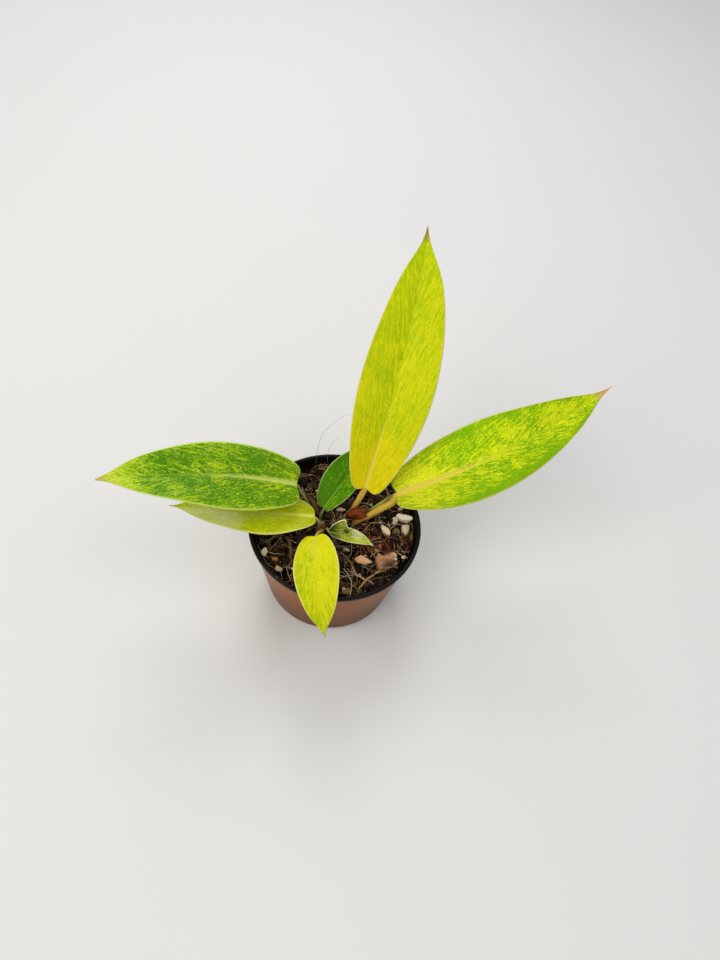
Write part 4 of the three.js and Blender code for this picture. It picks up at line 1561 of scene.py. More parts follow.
@dataclass
class Pot:
    """The nursery pot: a thin tapered wall with a beaded rim, on a disc and a foot ring."""

    height: float = 54 * MM
    rim_radius: float = 45 * MM
    rim_height: float = 2.2 * MM
    top_radius: float = 44.2 * MM
    base_radius: float = 34.5 * MM
    wall: float = 1 * MM
    floor: float = 2.4 * MM
    disc_radius: float = 12 * MM
    channel_outer: float = 27.5 * MM
    channel_height: float = 1.2 * MM
    channel_slope: float = 1.5 * MM
    foot_outer: float = 32.5 * MM
    corner_rise: float = 2.6 * MM
    bead: float = 0.45 * MM
    drain_count: int = 6
    drain_radius: float = 3.2 * MM
    drain_circle: float = 20.5 * MM
    drain_sides: int = 40
    sides: int = 192
    corner_steps: int = 8
    wall_steps: int = 14
    bead_steps: int = 4
    sharp_from: float = 40.0
    hair: float = 0.02 * MM

    def radius(self, z: float) -> float:
        """The outside radius at a height."""
        return self.base_radius + (self.top_radius - self.base_radius) * z / self.height

    def profile(self) -> list[tuple[float, float]]:
        """The wall's section, from the middle of the underside to the middle of the floor.

        Returns:
            Its points, as radius and height.
        """
        points = [
            (0.0, 0.0),
            (self.disc_radius, 0.0),
            (self.disc_radius + self.channel_slope, self.channel_height),
            (self.channel_outer, self.channel_height),
            (self.channel_outer + self.channel_slope, 0.0),
            (self.foot_outer, 0.0),
        ]
        for i in range(1, self.corner_steps + 1):
            turn = math.pi / 2 * i / self.corner_steps
            r = lerp(self.foot_outer, self.radius(self.corner_rise), math.sin(turn))
            points.append((r, self.corner_rise * (1 - math.cos(turn))))
        foot, top = self.height - self.rim_height, self.height - self.bead
        points += self.wall_line(self.corner_rise, foot, 0.0)
        inner = self.radius(self.height) - self.wall
        points += self.bead_arc(self.rim_radius - self.bead, foot + self.bead, -90)
        points += self.bead_arc(self.rim_radius - self.bead, top, 0)
        points += self.bead_arc(inner + self.bead, top, 90)
        points += self.wall_line(top, self.floor + self.corner_rise, self.wall)
        points.append((self.radius(self.floor) - self.wall - self.corner_rise / 2, self.floor))
        points.append((0.0, self.floor))
        return points

    def wall_line(self, start: float, end: float, inwards: float) -> list[tuple[float, float]]:
        """Points of the wall between two heights, at a distance inwards from its outside."""
        heights = [lerp(start, end, i / self.wall_steps) for i in range(1, self.wall_steps + 1)]
        return [(self.radius(z) - inwards, z) for z in heights]

    def bead_arc(self, r: float, z: float, start: float) -> list[tuple[float, float]]:
        """A quarter of a turn of the rim's rounded edge, round a point and from an angle on."""
        turns = [math.radians(start + 90 * i / self.bead_steps) for i in range(self.bead_steps + 1)]
        return [(r + self.bead * math.cos(turn), z + self.bead * math.sin(turn)) for turn in turns]

    def build(self) -> None:
        """Makes the pot."""
        (_, low), *rings, (_, high) = self.profile()
        turns = np.arange(self.sides) * TURN / self.sides
        around = np.stack([np.cos(turns), np.sin(turns), 0 * turns], 1)
        points = np.vstack([*(r * around + [0, 0, z] for r, z in rings), [0, 0, low], [0, 0, high]])
        shape = (points, ring_faces(len(rings), self.sides))
        pot = make_piece("pot.moulding", shape, PotFinish().material())
        self.drain(pot)
        put_fields(pot.data, {"wall": self.sides_of(np.array([v.co[:] for v in pot.data.vertices]))})
        settle(pot, Slot.POT, "pot")

    def sides_of(self, points: Array) -> Array:
        """Which side of the wall some points are on.

        Args:
            points: The points.

        Returns:
            Whether each is inside the pot, its share of the height, and whether it is on the rim.
        """
        reach, z = np.hypot(points[:, 0], points[:, 1]), points[:, 2]
        depth = self.radius(z) - reach
        inside = (depth > self.wall / 2) & (z > self.floor - self.hair)
        rim = (z > self.height - self.rim_height + self.hair) & (depth < self.wall + self.hair)
        rim |= reach > self.rim_radius - self.bead - self.hair
        return np.stack([inside, z / self.height, rim], 1)

    def drain(self, pot: bpy.types.Object) -> None:
        """Cuts the drain holes through the floor's channel, and marks the sharp edges.

        Args:
            pot: The moulding.
        """
        cutter_mesh = bpy.data.meshes.new("drain_cutter")
        shape = bmesh.new()
        for i in range(self.drain_count):
            turn = TURN * (i + 0.5) / self.drain_count
            spot = (self.drain_circle * math.cos(turn), self.drain_circle * math.sin(turn), 0)
            bmesh.ops.create_cone(
                shape, cap_ends=True, segments=self.drain_sides, radius1=self.drain_radius,
                radius2=self.drain_radius, depth=4 * self.floor, matrix=Matrix.Translation(spot),
            )
        shape.to_mesh(cutter_mesh)
        shape.free()
        cutter = bpy.data.objects.new("drain_cutter", cutter_mesh)
        bpy.context.scene.collection.objects.link(cutter)
        cut = pot.modifiers.new("drain", "BOOLEAN")
        cut.operation = "DIFFERENCE"
        cut.solver = "EXACT"
        cut.object = cutter
        graph = bpy.context.evaluated_depsgraph_get()
        done = bpy.data.meshes.new_from_object(pot.evaluated_get(graph))
        pot.modifiers.clear()
        pot.data = done
        bpy.data.objects.remove(cutter)
        sharp = pot.data.attributes.new("sharp_edge", "BOOLEAN", "EDGE")
        sharp.data.foreach_set("value", self.edge_angles(pot.data) > math.radians(self.sharp_from))

    @staticmethod
    def edge_angles(mesh: bpy.types.Mesh) -> Array:
        """How sharp a mesh's edges are.

        Args:
            mesh: The mesh.

        Returns:
            The angle between the two faces at each edge.
        """
        shape = bmesh.new()
        shape.from_mesh(mesh)
        angles = np.array([edge.calc_face_angle(math.pi) for edge in shape.edges])
        shape.free()
        return angles


# The potting mix


class Draw:
    """The repeatable draw between 0 and 1 that also placed the CAD mix's loose pieces."""

    MODULUS = 2147483647

    def __init__(self, seed: int) -> None:
        """Starts the draw."""
        self.state = seed % self.MODULUS

    def __call__(self) -> float:
        """The next value."""
        self.state = self.state * 16807 % self.MODULUS
        return self.state / self.MODULUS


@dataclass(frozen=True)
class Lump:
    """A stone's or chip's place, size and turn."""

    x: float
    y: float
    length: float
    width: float
    height: float
    turn: float

    @property
    def size(self) -> Point:
        """Its length, width and height."""
        return self.length, self.width, self.height


@dataclass(frozen=True)
class Stone(Lump):
    """A stone. point narrows its front end, block squares it, and facets counts its worn faces."""

    colour: str
    point: float = 0.0
    block: float = 0.0
    facets: int = 9


@dataclass(frozen=True)
class Chip(Lump):
    """A bark chip."""

    tilt: float
    colour: str


@dataclass(frozen=True)
class Root:
    """A root or fibre lying on the mix, with its bow sideways."""

    start: tuple[float, float]
    end: tuple[float, float]
    bow: float
    radius: float
    colour: str


@dataclass(frozen=True)
class Patch:
    """A patch of coir or moss: its middle, its spread, how many threads it has and their colours."""

    x: float
    y: float
    spread: float
    count: int
    colours: tuple[str, ...] = ()


@dataclass(frozen=True)
class Scatter:
    """Small pieces strewn all over the mix: how many, how far out, and their smallest and largest."""

    count: int
    reach: float
    sizes: tuple[float, float]


def taken(shape: bmesh.types.BMesh) -> Shape:
    """Takes the points and faces out of a bmesh.

    Args:
        shape: The bmesh, which is freed.

    Returns:
        Its points and faces.
    """
    points = np.array([v.co[:] for v in shape.verts])
    faces = [[v.index for v in f.verts] for f in shape.faces]
    shape.free()
    return points, faces


def ball(level: int) -> Shape:
    """A round ball 1 across, to be dented.

    Args:
        level: How finely it is divided.

    Returns:
        Its points and faces.
    """
    shape = bmesh.new()
    bmesh.ops.create_icosphere(shape, subdivisions=level, radius=0.5)
    return taken(shape)


def block(cuts: int) -> Shape:
    """A block of side 1, to be dented.

    Args:
        cuts: The number of cuts through each side.

    Returns:
        Its points and faces.
    """
    shape = bmesh.new()
    bmesh.ops.create_cube(shape, size=1.0)
    bmesh.ops.subdivide_edges(shape, edges=shape.edges[:], cuts=cuts, use_grid_fill=True)
    return taken(shape)


def rounded(points: Array, power: float) -> Array:
    """A block's points with its corners rounded off, the less so the higher the power."""
    corner = np.linalg.norm(points * 2, ord=power, axis=1)
    return points / np.maximum(corner, 0.8)[:, None]


def placed(points: Array, size: Sequence[float], spot: Point, turn: float, tilt: float) -> Array:
    """Points scaled, tilted, turned and moved to a place."""
    move = Matrix.Rotation(math.radians(turn), 3, "Z") @ Matrix.Rotation(math.radians(tilt), 3, "Y")
    return (points * np.array(size)) @ np.array(move).T + np.array(spot)


STONES = (
    Stone(*mm(36.4, 11, 9, 3.8, 4), -8, "#e4d8c2", block=0.6, facets=3),
    Stone(*mm(31.6, 8.4, 5.4, 4.8, 4.4), 60, "#b4a68c", 0.2),
    Stone(*mm(37, 3.6, 8, 5.2, 5), 80, "#d6be98", 0.1, 0.2, 7),
    Stone(*mm(26.1, 1.6, 9.4, 5.8, 5.4), 120, "#e6cca4", 0.4, 0.2, 9),
    Stone(*mm(32.6, 1.6, 4.8, 4.4, 3.6), 20, "#6e5438"),
    Stone(*mm(17, -18.4, 9.2, 5, 4.2), -12, "#cf9f74", block=0.2),
    Stone(*mm(9.8, -36.4, 5.6, 3.4, 3), 15, "#a58058"),
    Stone(*mm(2.2, 10.8, 5.2, 2.6, 2.8), 5, "#c2b294"),
    Stone(*mm(-33.6, -20, 5.6, 5, 5), 70, "#d4c4a2", 0.5),
    Stone(*mm(-27.8, -23.6, 3.9, 3.5, 3.2), 10, "#9a6c38"),
    Stone(*mm(34.2, 16.6, 4.4, 3.4, 3), 30, "#c6b8a0"),
)
BARK = Chip(*mm(28.6, -17.6, 11.4, 7.6, 5), 24, 14, "#a27a5c")
ROOTS = (
    Root(mm(-24, -9), mm(-20, -28), 1.5 * MM, 0.8 * MM, "#6a5034"),
    Root(mm(-27.5, -24.6), mm(-16, -22.4), -1.2 * MM, 0.6 * MM, "#8f6b3c"),
    Root(mm(15, -35), mm(35, -18.5), 2.5 * MM, 0.6 * MM, "#94713f"),
    Root(mm(4, -15), mm(12, -30), 3 * MM, 0.5 * MM, "#7a5c3c"),
    Root(mm(20, -12), mm(40, -2), 3 * MM, 0.6 * MM, "#6e3a22"),
    Root(mm(22, -4), mm(31, -14), -2 * MM, 0.5 * MM, "#6e3a22"),
    Root(mm(-19, 20), mm(-15, 33), 4 * MM, 0.5 * MM, "#9a8a70"),
    Root(mm(-14, 36), mm(3, 39.5), 1.5 * MM, 0.6 * MM, "#7c5f40"),
    Root(mm(-36, 4), mm(-24, 15), 2 * MM, 0.55 * MM, "#85684a"),
    Root(mm(20, 24), mm(32, 27), -2 * MM, 0.5 * MM, "#85684a"),
)


# Coir tangles, moss and green scraps stand where the plant has them
COIR = (
    Patch(*mm(22, -6.5, 3.2), 60, ("#8a401a", "#5c2810", "#b47038", "#34160a")),
    Patch(*mm(28, -7.5, 3), 34, ("#6a3218", "#3c1c0e", "#281208")),
    Patch(*mm(37, -5, 2.4), 70, ("#4c2210", "#30160a", "#623018")),
)
MOSS = (
    Patch(*mm(39.5, 1, 1.2), 16),
    Patch(*mm(-33, -14, 1.3), 14),
    Patch(*mm(-27.5, -13, 1.2), 10),
    Patch(*mm(-24.5, -27.5, 1.4), 12),
    Patch(*mm(15.5, -34, 2.2), 20),
)
SCRAP = Stone(*mm(40.6, 0.6, 5.4, 2.6, 3.4), 100, "#566e1e", 0.2, facets=2)
MOSS_SIZE = mm(1.3, 0.5, 0.22)
MOSS_TINT = "#58682a"
STONE_TINTS = ("#a89472", "#c2b090", "#7c6648", "#94784e", "#5c4a34", "#9a8a70")
BARK_TINTS = ("#281a0f", "#362215", "#180e08", "#40291a", "#110b06", "#4c3624")
BARK_LEFT, BARK_SPLINTER = "#a4704a", "#ccb08a"
FIBRE_TINTS = ("#94764e", "#b89c72", "#664628", "#84602e", "#ccb690", "#4c321c")
CRUMB_TINTS = ("#150d07", "#24180e", "#0b0704", "#3c2b1b", "#1a110a", "#6e5c40")
HAIR_TINT = "#8c7c64"
# Loose hairs: two behind the rim and one that hangs over its front, as points with a radius
HAIRS = (
    ((mm(-15, 39.5, 48), mm(-14.7, 41, 60), mm(-13.5, 42, 69.7), mm(-10.7, 42, 77.7),
      mm(-6, 42, 85.2), mm(-1.7, 42, 90.8), mm(1.4, 42, 91.4)), 0.1 * MM),
    ((mm(-8, 40, 48), mm(-9, 41, 58), mm(-7, 41.5, 68), mm(-3, 42, 73)), 0.09 * MM),
    ((mm(-24, -33, 49), mm(-25, -36.4, 54.3), mm(-26, -37.6, 51), mm(-25.6, -37.8, 45)), 0.12 * MM),
)
# Dents, as waves round a piece and their depth over its size
STONE_DENTS = ((5, 0.035), (17, 0.015))
CHIP_DENTS = ((6, 0.06), (21, 0.025))
BARK_DENTS = ((6, 0.08),)
CRUMB_DENTS = ((4, 0.16),)
MOSS_DENTS = ((4, 0.08),)


@dataclass
class Mix:
    """The potting mix: a dark crumbly ground with stones, bark, roots, fibres, moss and crumbs.

    The ground is the CAD's low mound with clods and grit on it, sunk so that these stay round the CAD
    surface. The CAD's loose pieces lie on it, clear of the crown, with smaller ones strewn between.
    """

    level: float = 48.4 * MM
    mound: float = 1.4 * MM
    relief: float = 0.45 * MM
    bottom: float = 2.75 * MM
    wall_gap: float = 0.1 * MM
    clod_size: float = 6 * MM
    clod_height: float = 0.95 * MM
    grit_size: float = 2.2 * MM
    grit_height: float = 0.8 * MM
    sunk: float = 1.3 * MM
    rings: int = 118
    sides: int = 400
    pot: Pot = field(default_factory=Pot)
    seed: int = 90210
    loose_stones: int = 14
    loose_chips: int = 20
    loose_fibres: int = 9
    clear: float = 14 * MM
    reach: float = 38.5 * MM
    crown: tuple[float, float] = mm(3, 2)
    pebbles: Scatter = Scatter(46, 39.5 * MM, mm(1, 2.6))
    splinters: Scatter = Scatter(150, 40 * MM, mm(2, 5.5))
    threads: Scatter = Scatter(380, 39 * MM, mm(5, 24))
    grains: Scatter = Scatter(2300, 41.2 * MM, mm(0.5, 1.9))
    stone_lift: float = 0.17
    chip_lift: float = 0.12
    root_steps: int = 16
    root_kinks: float = 0.25 * MM
    thread_step: float = 1.1 * MM
    thread_kinks: float = 0.16
    thread_ends: float = 0.12
    thread_dive: float = 1.2 * MM
    thread_wall_gap: float = 0.8 * MM

    def __post_init__(self) -> None:
        """Starts the seeded draws, the noise and a heap, and readies the bodies that are dented."""
        self.rng = np.random.RandomState(self.seed)
        self.grain = Grain(7)
        self.heap = Heap()
        self.balls = {level: ball(level) for level in (1, 2, 3, 4)}
        self.slab = block(4)
        self.loose = self.loose_pieces()

    def wall_reach(self, z: float) -> float:
        """How far from the middle the mix goes at a height."""
        return self.pot.radius(z) - self.pot.wall - self.wall_gap

    def plain_height(self, x: Array, y: Array) -> Array:
        """The CAD surface: a low mound with crumbs on it, whose waves are counted in millimetres.

        Args:
            x: The places' x.
            y: The places' y.

        Returns:
            Its height there.
        """
        share = np.minimum(1, np.hypot(x, y) / self.pot.radius(self.level))
        u, v = np.asarray(x) / MM, np.asarray(y) / MM
        crumbs = np.sin(0.55 * u + 0.8) * np.cos(0.47 * v - 0.4)
        grit = np.sin(1.1 * u - 0.9 * v + 2) * np.cos(0.7 * u + 1.3 * v)
        return self.level + self.mound * (1 - share**2) + self.relief * (crumbs + grit)

    def surface(self, x: Array, y: Array) -> Array:
        """The dressed surface: clods and grit on the CAD surface.

        Args:
            x: The places' x.
            y: The places' y.

        Returns:
            Its height there.
        """
        clods = self.grain.layers(x, y, self.clod_size, 3)
        grit = np.abs(self.grain.layers(x + 0.4, y, self.grit_size, 3))
        return self.plain_height(x, y) + self.clod_height * clods + self.grit_height * grit - self.sunk

    def dented(self, points: Array, dents: Sequence[tuple[float, float]]) -> Array:
        """Points pushed in and out by a few random waves at a time.

        Args:
            points: The points, round the origin.
            dents: Sets of waves, each with its depth as a share of the points' distance.

        Returns:
            The points, dented.
        """
        for waves, depth in dents:
            push = np.zeros(len(points))
            for k in range(1, 6):
                way = self.rng.normal(size=3)
                way *= waves * (0.6 + 0.5 * k) / np.linalg.norm(way)
                push += np.sin(points @ way + self.rng.uniform(0, TURN)) / k
            points = points * (1 + depth * push)[:, None]
        return points

    def seated(self, lump: Lump, points: Array, lift: float, tilt: float = 0.0) -> Array:
        """A stone's or chip's points in the mix, with its middle raised by a share of its height."""
        z = float(self.plain_height(lump.x, lump.y)) + lift * lump.height
        return placed(points, lump.size, (lump.x, lump.y, z), lump.turn, tilt)

    def pick(self, colours: Sequence[str]) -> str:
        """One of some colours, by the draw."""
        return colours[self.rng.randint(len(colours))]

    def tinted(self, colour: str, spread: float = 0.18) -> Colour:
        """A colour made a little lighter or darker by the draw."""
        light = 1 + self.rng.uniform(-spread, spread)
        return (*[min(1.0, value * light) for value in paint(colour)[:3]], 1.0)

    def strewn(self, scatter: Scatter) -> Iterator[Point]:
        """Draws small pieces one by one.

        Args:
            scatter: How they are strewn.

        Yields:
            Each one's place on the mix, as x and y, and its size.
        """
        for _ in range(scatter.count):
            distance = scatter.reach * math.sqrt(self.rng.uniform())
            turn = self.rng.uniform(0, TURN)
            size = self.rng.uniform(*scatter.sizes)
            yield distance * math.cos(turn), distance * math.sin(turn), size

    def stone(self, stone: Stone, level: int) -> None:
        """Adds a stone with worn facets, sunk a third into the mix.

        Args:
            stone: The stone.
            level: How finely it is divided.
        """
        points, faces = self.balls[level]
        points = np.sign(points) * np.abs(2 * points) ** (1 - 0.6 * stone.block) / 2
        for _ in range(stone.facets):
            way = self.rng.normal(size=3)
            way /= np.linalg.norm(way)
            over = np.maximum(0, points @ way - self.rng.uniform(0.27, 0.42))
            points -= over[:, None] * way * 0.9
        points[:, 1:] *= 1 - stone.point * (points[:, :1] + 0.5)
        points = self.dented(points, STONE_DENTS)
        own = points * stone.size + self.rng.uniform(-1, 1, 3)
        self.heap.put((self.seated(stone, points, self.stone_lift), faces), self.tinted(stone.colour), own)

    def chip(self, chip: Chip) -> None:
        """Adds a chip of bark or husk with split, uneven sides, tilted and sunk into the mix.

        Args:
            chip: The chip.
        """
        points, faces = self.slab
        long, wide, tall = points.T
        pinch = 1 - 0.3 * np.abs(self.rng.uniform(0, 1) + long) ** 2 * self.rng.uniform(0.2, 0.9)
        points = np.stack([long, wide * pinch, tall * (1 - 0.35 * np.abs(2 * wide) ** 3)], 1)
        points = self.dented(rounded(points, 6), CHIP_DENTS)
        own = points * chip.size + self.rng.uniform(-1, 1, 3)
        place = self.seated(chip, points, self.chip_lift, chip.tilt)
        self.heap.put((place, faces), self.tinted(chip.colour), own)

    def bark(self, chip: Chip) -> None:
        """Adds the large weathered bark chip: ridged, with a dented hollow and pale splinters. It is painted
        darker between its ridges and lumps, partly its own colour and partly painted shade, and near black
        in the hollow, which is painted shade.

        Args:
            chip: The chip.
        """
        points, faces = block(26)
        long, wide, tall = points.T
        narrowed = wide * (1 - 0.25 * (long + 0.3) ** 2)
        points = np.stack([long, narrowed, tall * (1 - 0.5 * np.abs(2 * wide) ** 2.5)], 1)
        points = self.dented(rounded(points, 5), BARK_DENTS)
        long, wide, tall = points.T.copy()
        grain = Grain(31)
        ridges = np.abs(grain.layers(long * 4 * MM, wide * 8 * MM, 1.7 * MM, 3))
        lumps = grain.layers(long * 11 * MM + 0.3, wide * 8 * MM, 4 * MM, 2)
        hollow = np.exp(-(((long - 0.06) / 0.3) ** 2) - ((wide + 0.32) / 0.19) ** 2)
        points[:, 2] += np.clip(2 * tall, -0.2, 1) * (0.22 * lumps + 0.2 * ridges - 0.1 - 0.5 * hollow)
        # Partly painted shade: darker between the ridges and lumps, and near black in the hollow
        shade = np.clip(0.6 + 0.8 * ridges + 0.35 * lumps, 0.35, 1.2) * (1 - 0.8 * hollow)
        left = np.clip(0.5 - 2.2 * long, 0, 1) * np.clip(0.8 + 3 * wide, 0, 1)
        splinter = np.clip((long - 0.3) * 8, 0, 1) * np.clip(ridges * 3 - 0.5, 0, 1)
        tint = np.array(paint(chip.colour))
        for colour, share in ((BARK_LEFT, left), (BARK_SPLINTER, splinter)):
            tint = lerp(tint, np.array(paint(colour)), share[:, None])
        tint *= shade[:, None]
        tint[:, 3] = 1
        place = self.seated(chip, points, self.chip_lift, chip.tilt)
        self.heap.put((place, faces), tint, points * chip.size)

    def root(self, root: Root) -> None:
        """Adds a root, half sunk, with small kinks.

        Args:
            root: The root.
        """
        start, end = np.array(root.start), np.array(root.end)
        span = end - start
        across = np.array([-span[1], span[0]]) / np.linalg.norm(span)
        count = self.root_steps + 1
        share = np.linspace(0, 1, count)
        aside = root.bow * np.sin(math.pi * share) + self.rng.normal(0, self.root_kinks, count)
        flat = start + share[:, None] * span + aside[:, None] * across
        z = self.plain_height(flat[:, 0], flat[:, 1]) + 0.15 * MM
        z -= np.where((share < 0.05) | (share > 0.95), 2 * root.radius, 0)
        radii = root.radius * (1.05 - 0.5 * np.abs(share - 0.4)) * self.rng.uniform(0.8, 1.15, count)
        self.heap.put(tube(np.column_stack([flat, z]), radii, 8), self.tinted(root.colour))

    def from_crown(self, x: float, y: float) -> float:
        """How far a place is from the crown."""
        return math.hypot(x - self.crown[0], y - self.crown[1])

    def free_place(self, draw: Draw) -> tuple[float, float]:
        """A place clear of the crown and of the pot's wall.

        Args:
            draw: The CAD mix's own draw.

        Returns:
            The place.
        """
        while True:
            reach = self.reach * math.sqrt(draw())
            turn = TURN * draw()
            x, y = reach * math.cos(turn), reach * math.sin(turn)
            if self.from_crown(x, y) >= self.clear:
                return x, y

    def loose_pieces(self) -> tuple[list[Stone], list[Chip], list[Root]]:
        """The CAD mix's loose pieces, by its own draw.

        Returns:
            Its stones, chips and fibres.
        """
        draw = Draw(self.seed)
        stones, chips, fibres = [], [], []
        for i in range(self.loose_stones):
            size = (2.6 + 2.4 * draw()) * MM
            width = size * (0.6 + 0.4 * draw())
            x, y = self.free_place(draw)
            colour = STONE_TINTS[i % len(STONE_TINTS)]
            stones.append(Stone(x, y, size, width, size * 0.7, 180 * draw(), colour))
        for i in range(self.loose_chips):
            size = (3.5 + 4 * draw()) * MM
            width = size * (0.4 + 0.4 * draw())
            x, y = self.free_place(draw)
            turn, tilt = 180 * draw(), 40 * draw() - 20
            colour = BARK_TINTS[i % len(BARK_TINTS)]
            chips.append(Chip(x, y, size, width, size * 0.4, turn, tilt, colour))
        for i in range(self.loose_fibres):
            x, y = self.free_place(draw)
            turn = TURN * draw()
            length = (8 + 8 * draw()) * MM
            end = (x + length * math.cos(turn), y + length * math.sin(turn))
            bow = (5 * draw() - 2.5) * MM
            if math.hypot(*end) <= self.reach and self.from_crown(*end) >= self.clear:
                colour = FIBRE_TINTS[i % len(FIBRE_TINTS)]
                fibres.append(Root((x, y), end, bow, 0.45 * MM, colour))
        return stones, chips, fibres

    def ground(self) -> None:
        """Makes the ground, a closed body that fills the pot."""
        turns = np.arange(self.sides) * TURN / self.sides
        reach = self.wall_reach(self.level) * (1 - np.arange(self.rings) / self.rings)
        x = np.outer(reach, np.cos(turns))
        y = np.outer(reach, np.sin(turns))
        z = self.surface(x, y)
        top = np.stack([x, y, z], -1).reshape(-1, 3)
        low = self.wall_reach(self.bottom) - self.pot.corner_rise
        foot = np.stack([low * np.cos(turns), low * np.sin(turns), np.full(self.sides, self.bottom)], 1)
        middle = float(self.surface(np.array(0.0), np.array(0.0)))
        points = np.vstack([foot, top, [0, 0, self.bottom], [0, 0, middle]])
        # The height over the CAD surface, from which the ground's material paints shade in the low places
        raised = (z - self.plain_height(x, y)).ravel() / MM + 1.5
        height = np.concatenate([np.zeros(self.sides), raised, [0, 1]])
        fields = {"height": np.stack([height, 0 * height, 0 * height], 1)}
        shape = (points, ring_faces(self.rings + 1, self.sides))
        piece = make_piece("mix.ground", shape, GroundFinish().material(), fields)
        settle(piece, Slot.MIX, "potting_mix")

    def stones(self) -> None:
        """Adds the named stones, the CAD's loose ones and the pebbles."""
        for stone in STONES:
            self.stone(stone, 4)
        for stone in self.loose[0]:
            self.stone(stone, 3)
        for x, y, size in self.strewn(self.pebbles):
            colour = self.pick(STONE_TINTS)
            shape = (size, size * self.rng.uniform(0.6, 1), size * 0.8)
            self.stone(Stone(x, y, *shape, self.rng.uniform(0, 180), colour), 2)

    def chips(self) -> None:
        """Adds the large bark chip, the CAD's loose ones and the splinters."""
        self.bark(BARK)
        for chip in self.loose[1]:
            self.chip(chip)
        for x, y, size in self.strewn(self.splinters):
            shape = (size, size * self.rng.uniform(0.35, 0.8), size * self.rng.uniform(0.2, 0.45))
            colour = self.pick(BARK_TINTS)
            turn, tilt = self.rng.uniform(0, 180), self.rng.uniform(-35, 35)
            self.chip(Chip(x, y, *shape, turn, tilt, colour))

    def roots(self) -> None:
        """Adds the thick roots."""
        for root in (*ROOTS, *self.loose[2]):
            self.root(root)

    def wander(self, x: float, y: float, length: float, lift: float, curl: float) -> Array:
        """The path of a thin fibre that wanders over the mix and bows up between its ends.

        Args:
            x: Where it starts.
            y: Where it starts.
            length: Its length.
            lift: How high it bows up.
            curl: How strongly it may curl, as an angle at each step.

        Returns:
            The path's points.
        """
        steps = max(8, int(length / self.thread_step))
        heading = self.rng.uniform(0, TURN)
        turning = self.rng.normal(0, curl)
        limit = self.wall_reach(self.level) - self.thread_wall_gap
        found = []
        for share in np.arange(steps + 1) / steps:
            height = float(self.plain_height(x, y)) + lift * math.sin(math.pi * share)
            past = max(0, self.thread_ends - share) + max(0, share - 1 + self.thread_ends)
            found.append((x, y, height - self.thread_dive * past / self.thread_ends))
            heading += turning + self.rng.normal(0, self.thread_kinks)
            x += length / steps * math.cos(heading)
            y += length / steps * math.sin(heading)
            distance = math.hypot(x, y)
            if distance > limit:
                x, y = x * limit / distance, y * limit / distance
        return np.array(found)

    def fibres(self) -> None:
        """Adds the thin fibres all over the mix, the coir tangles and the loose hairs."""
        for x, y, length in self.strewn(self.threads):
            path = self.wander(x, y, length, self.rng.uniform(0.1, 1.8) * MM, 0.12)
            radius = self.rng.uniform(0.06, 0.16) * MM
            radii = radius * np.linspace(1.1, 0.6, len(path))
            self.heap.put(tube(path, radii, 5), self.tinted(self.pick(FIBRE_TINTS), 0.3))
        for patch in COIR:
            for _ in range(patch.count):
                x = patch.x + self.rng.normal(0, patch.spread)
                y = patch.y + self.rng.normal(0, patch.spread * 0.7)
                path = self.wander(x, y, self.rng.uniform(4, 10) * MM, self.rng.uniform(0.6, 2.4) * MM, 0.25)
                radius = self.rng.uniform(0.06, 0.12) * MM
                tint = self.tinted(self.pick(patch.colours), 0.35)
                self.heap.put(tube(path, [radius] * len(path), 5), tint)
        for knots, radius in HAIRS:
            path = smooth_path(knots, 7)
            radii = radius * np.linspace(1, 0.5, len(path))
            self.heap.put(tube(path, radii, 5), self.tinted(HAIR_TINT, 0.1))

    def crumbs(self) -> None:
        """Adds the crumbs: peat, bark dust and a few grains of pumice."""
        points, faces = self.balls[1]
        for x, y, width in self.strewn(self.grains):
            size = width * self.rng.uniform(0.6, 1, 3)
            lump = self.dented(points, CRUMB_DENTS)
            z = float(self.surface(np.array(x), np.array(y))) + 0.15 * size[2]
            turn, tilt = self.rng.uniform(0, 360), self.rng.uniform(-60, 60)
            tint = self.tinted(self.pick(CRUMB_TINTS), 0.3)
            self.heap.put((placed(lump, size, (x, y, z), turn, tilt), faces), tint)

    def moss(self) -> None:
        """Adds the little tufts of moss and a green scrap."""
        points, faces = self.balls[2]
        for patch in MOSS:
            for _ in range(patch.count):
                x, y = (middle + self.rng.normal(0, patch.spread) for middle in (patch.x, patch.y))
                size = np.array(MOSS_SIZE) * self.rng.uniform(0.5, 1.2)
                z = float(self.plain_height(x, y)) + self.rng.uniform(0.1, 0.9) * MM
                turn, tilt = self.rng.uniform(0, 360), self.rng.uniform(-70, 10)
                lump = placed(self.dented(points, MOSS_DENTS), size, (x, y, z), turn, tilt)
                self.heap.put((lump, faces), self.tinted(MOSS_TINT, 0.4))
        self.stone(SCRAP, 3)

    def build(self) -> None:
        """Makes the ground, and then a heap of each kind of loose piece."""
        self.ground()
        kinds = (
            ("mix.stones", self.stones, LooseFinish("mix_stone", "#7d6a50", 0.5, 0.5, 0.0, 0.7)),
            ("mix.bark", self.chips, LooseFinish("mix_bark", "#241810", 0.6, 0.2, 0.7, 0.75)),
            ("mix.roots", self.roots, LooseFinish("mix_root", "#4a3220", 0.4, 0.2, 0.2, 0.6)),
            ("mix.fibres", self.fibres, LooseFinish("mix_fibre", "#4a3220", 0.35, 0.0, 0.0, 0.65)),
            ("mix.crumbs", self.crumbs, LooseFinish("mix_crumb", "#1a120b", 0.5, 0.3, 0.0, 0.8)),
            ("mix.moss", self.moss, LooseFinish("mix_moss", "#2c3814", 0.5, 0.0, 0.0, 0.7)),
        )
        for name, fill, finish in kinds:
            self.heap = Heap()
            fill()
            settle(self.heap.build(name, finish), Slot.MIX, "potting_mix")


# Stage


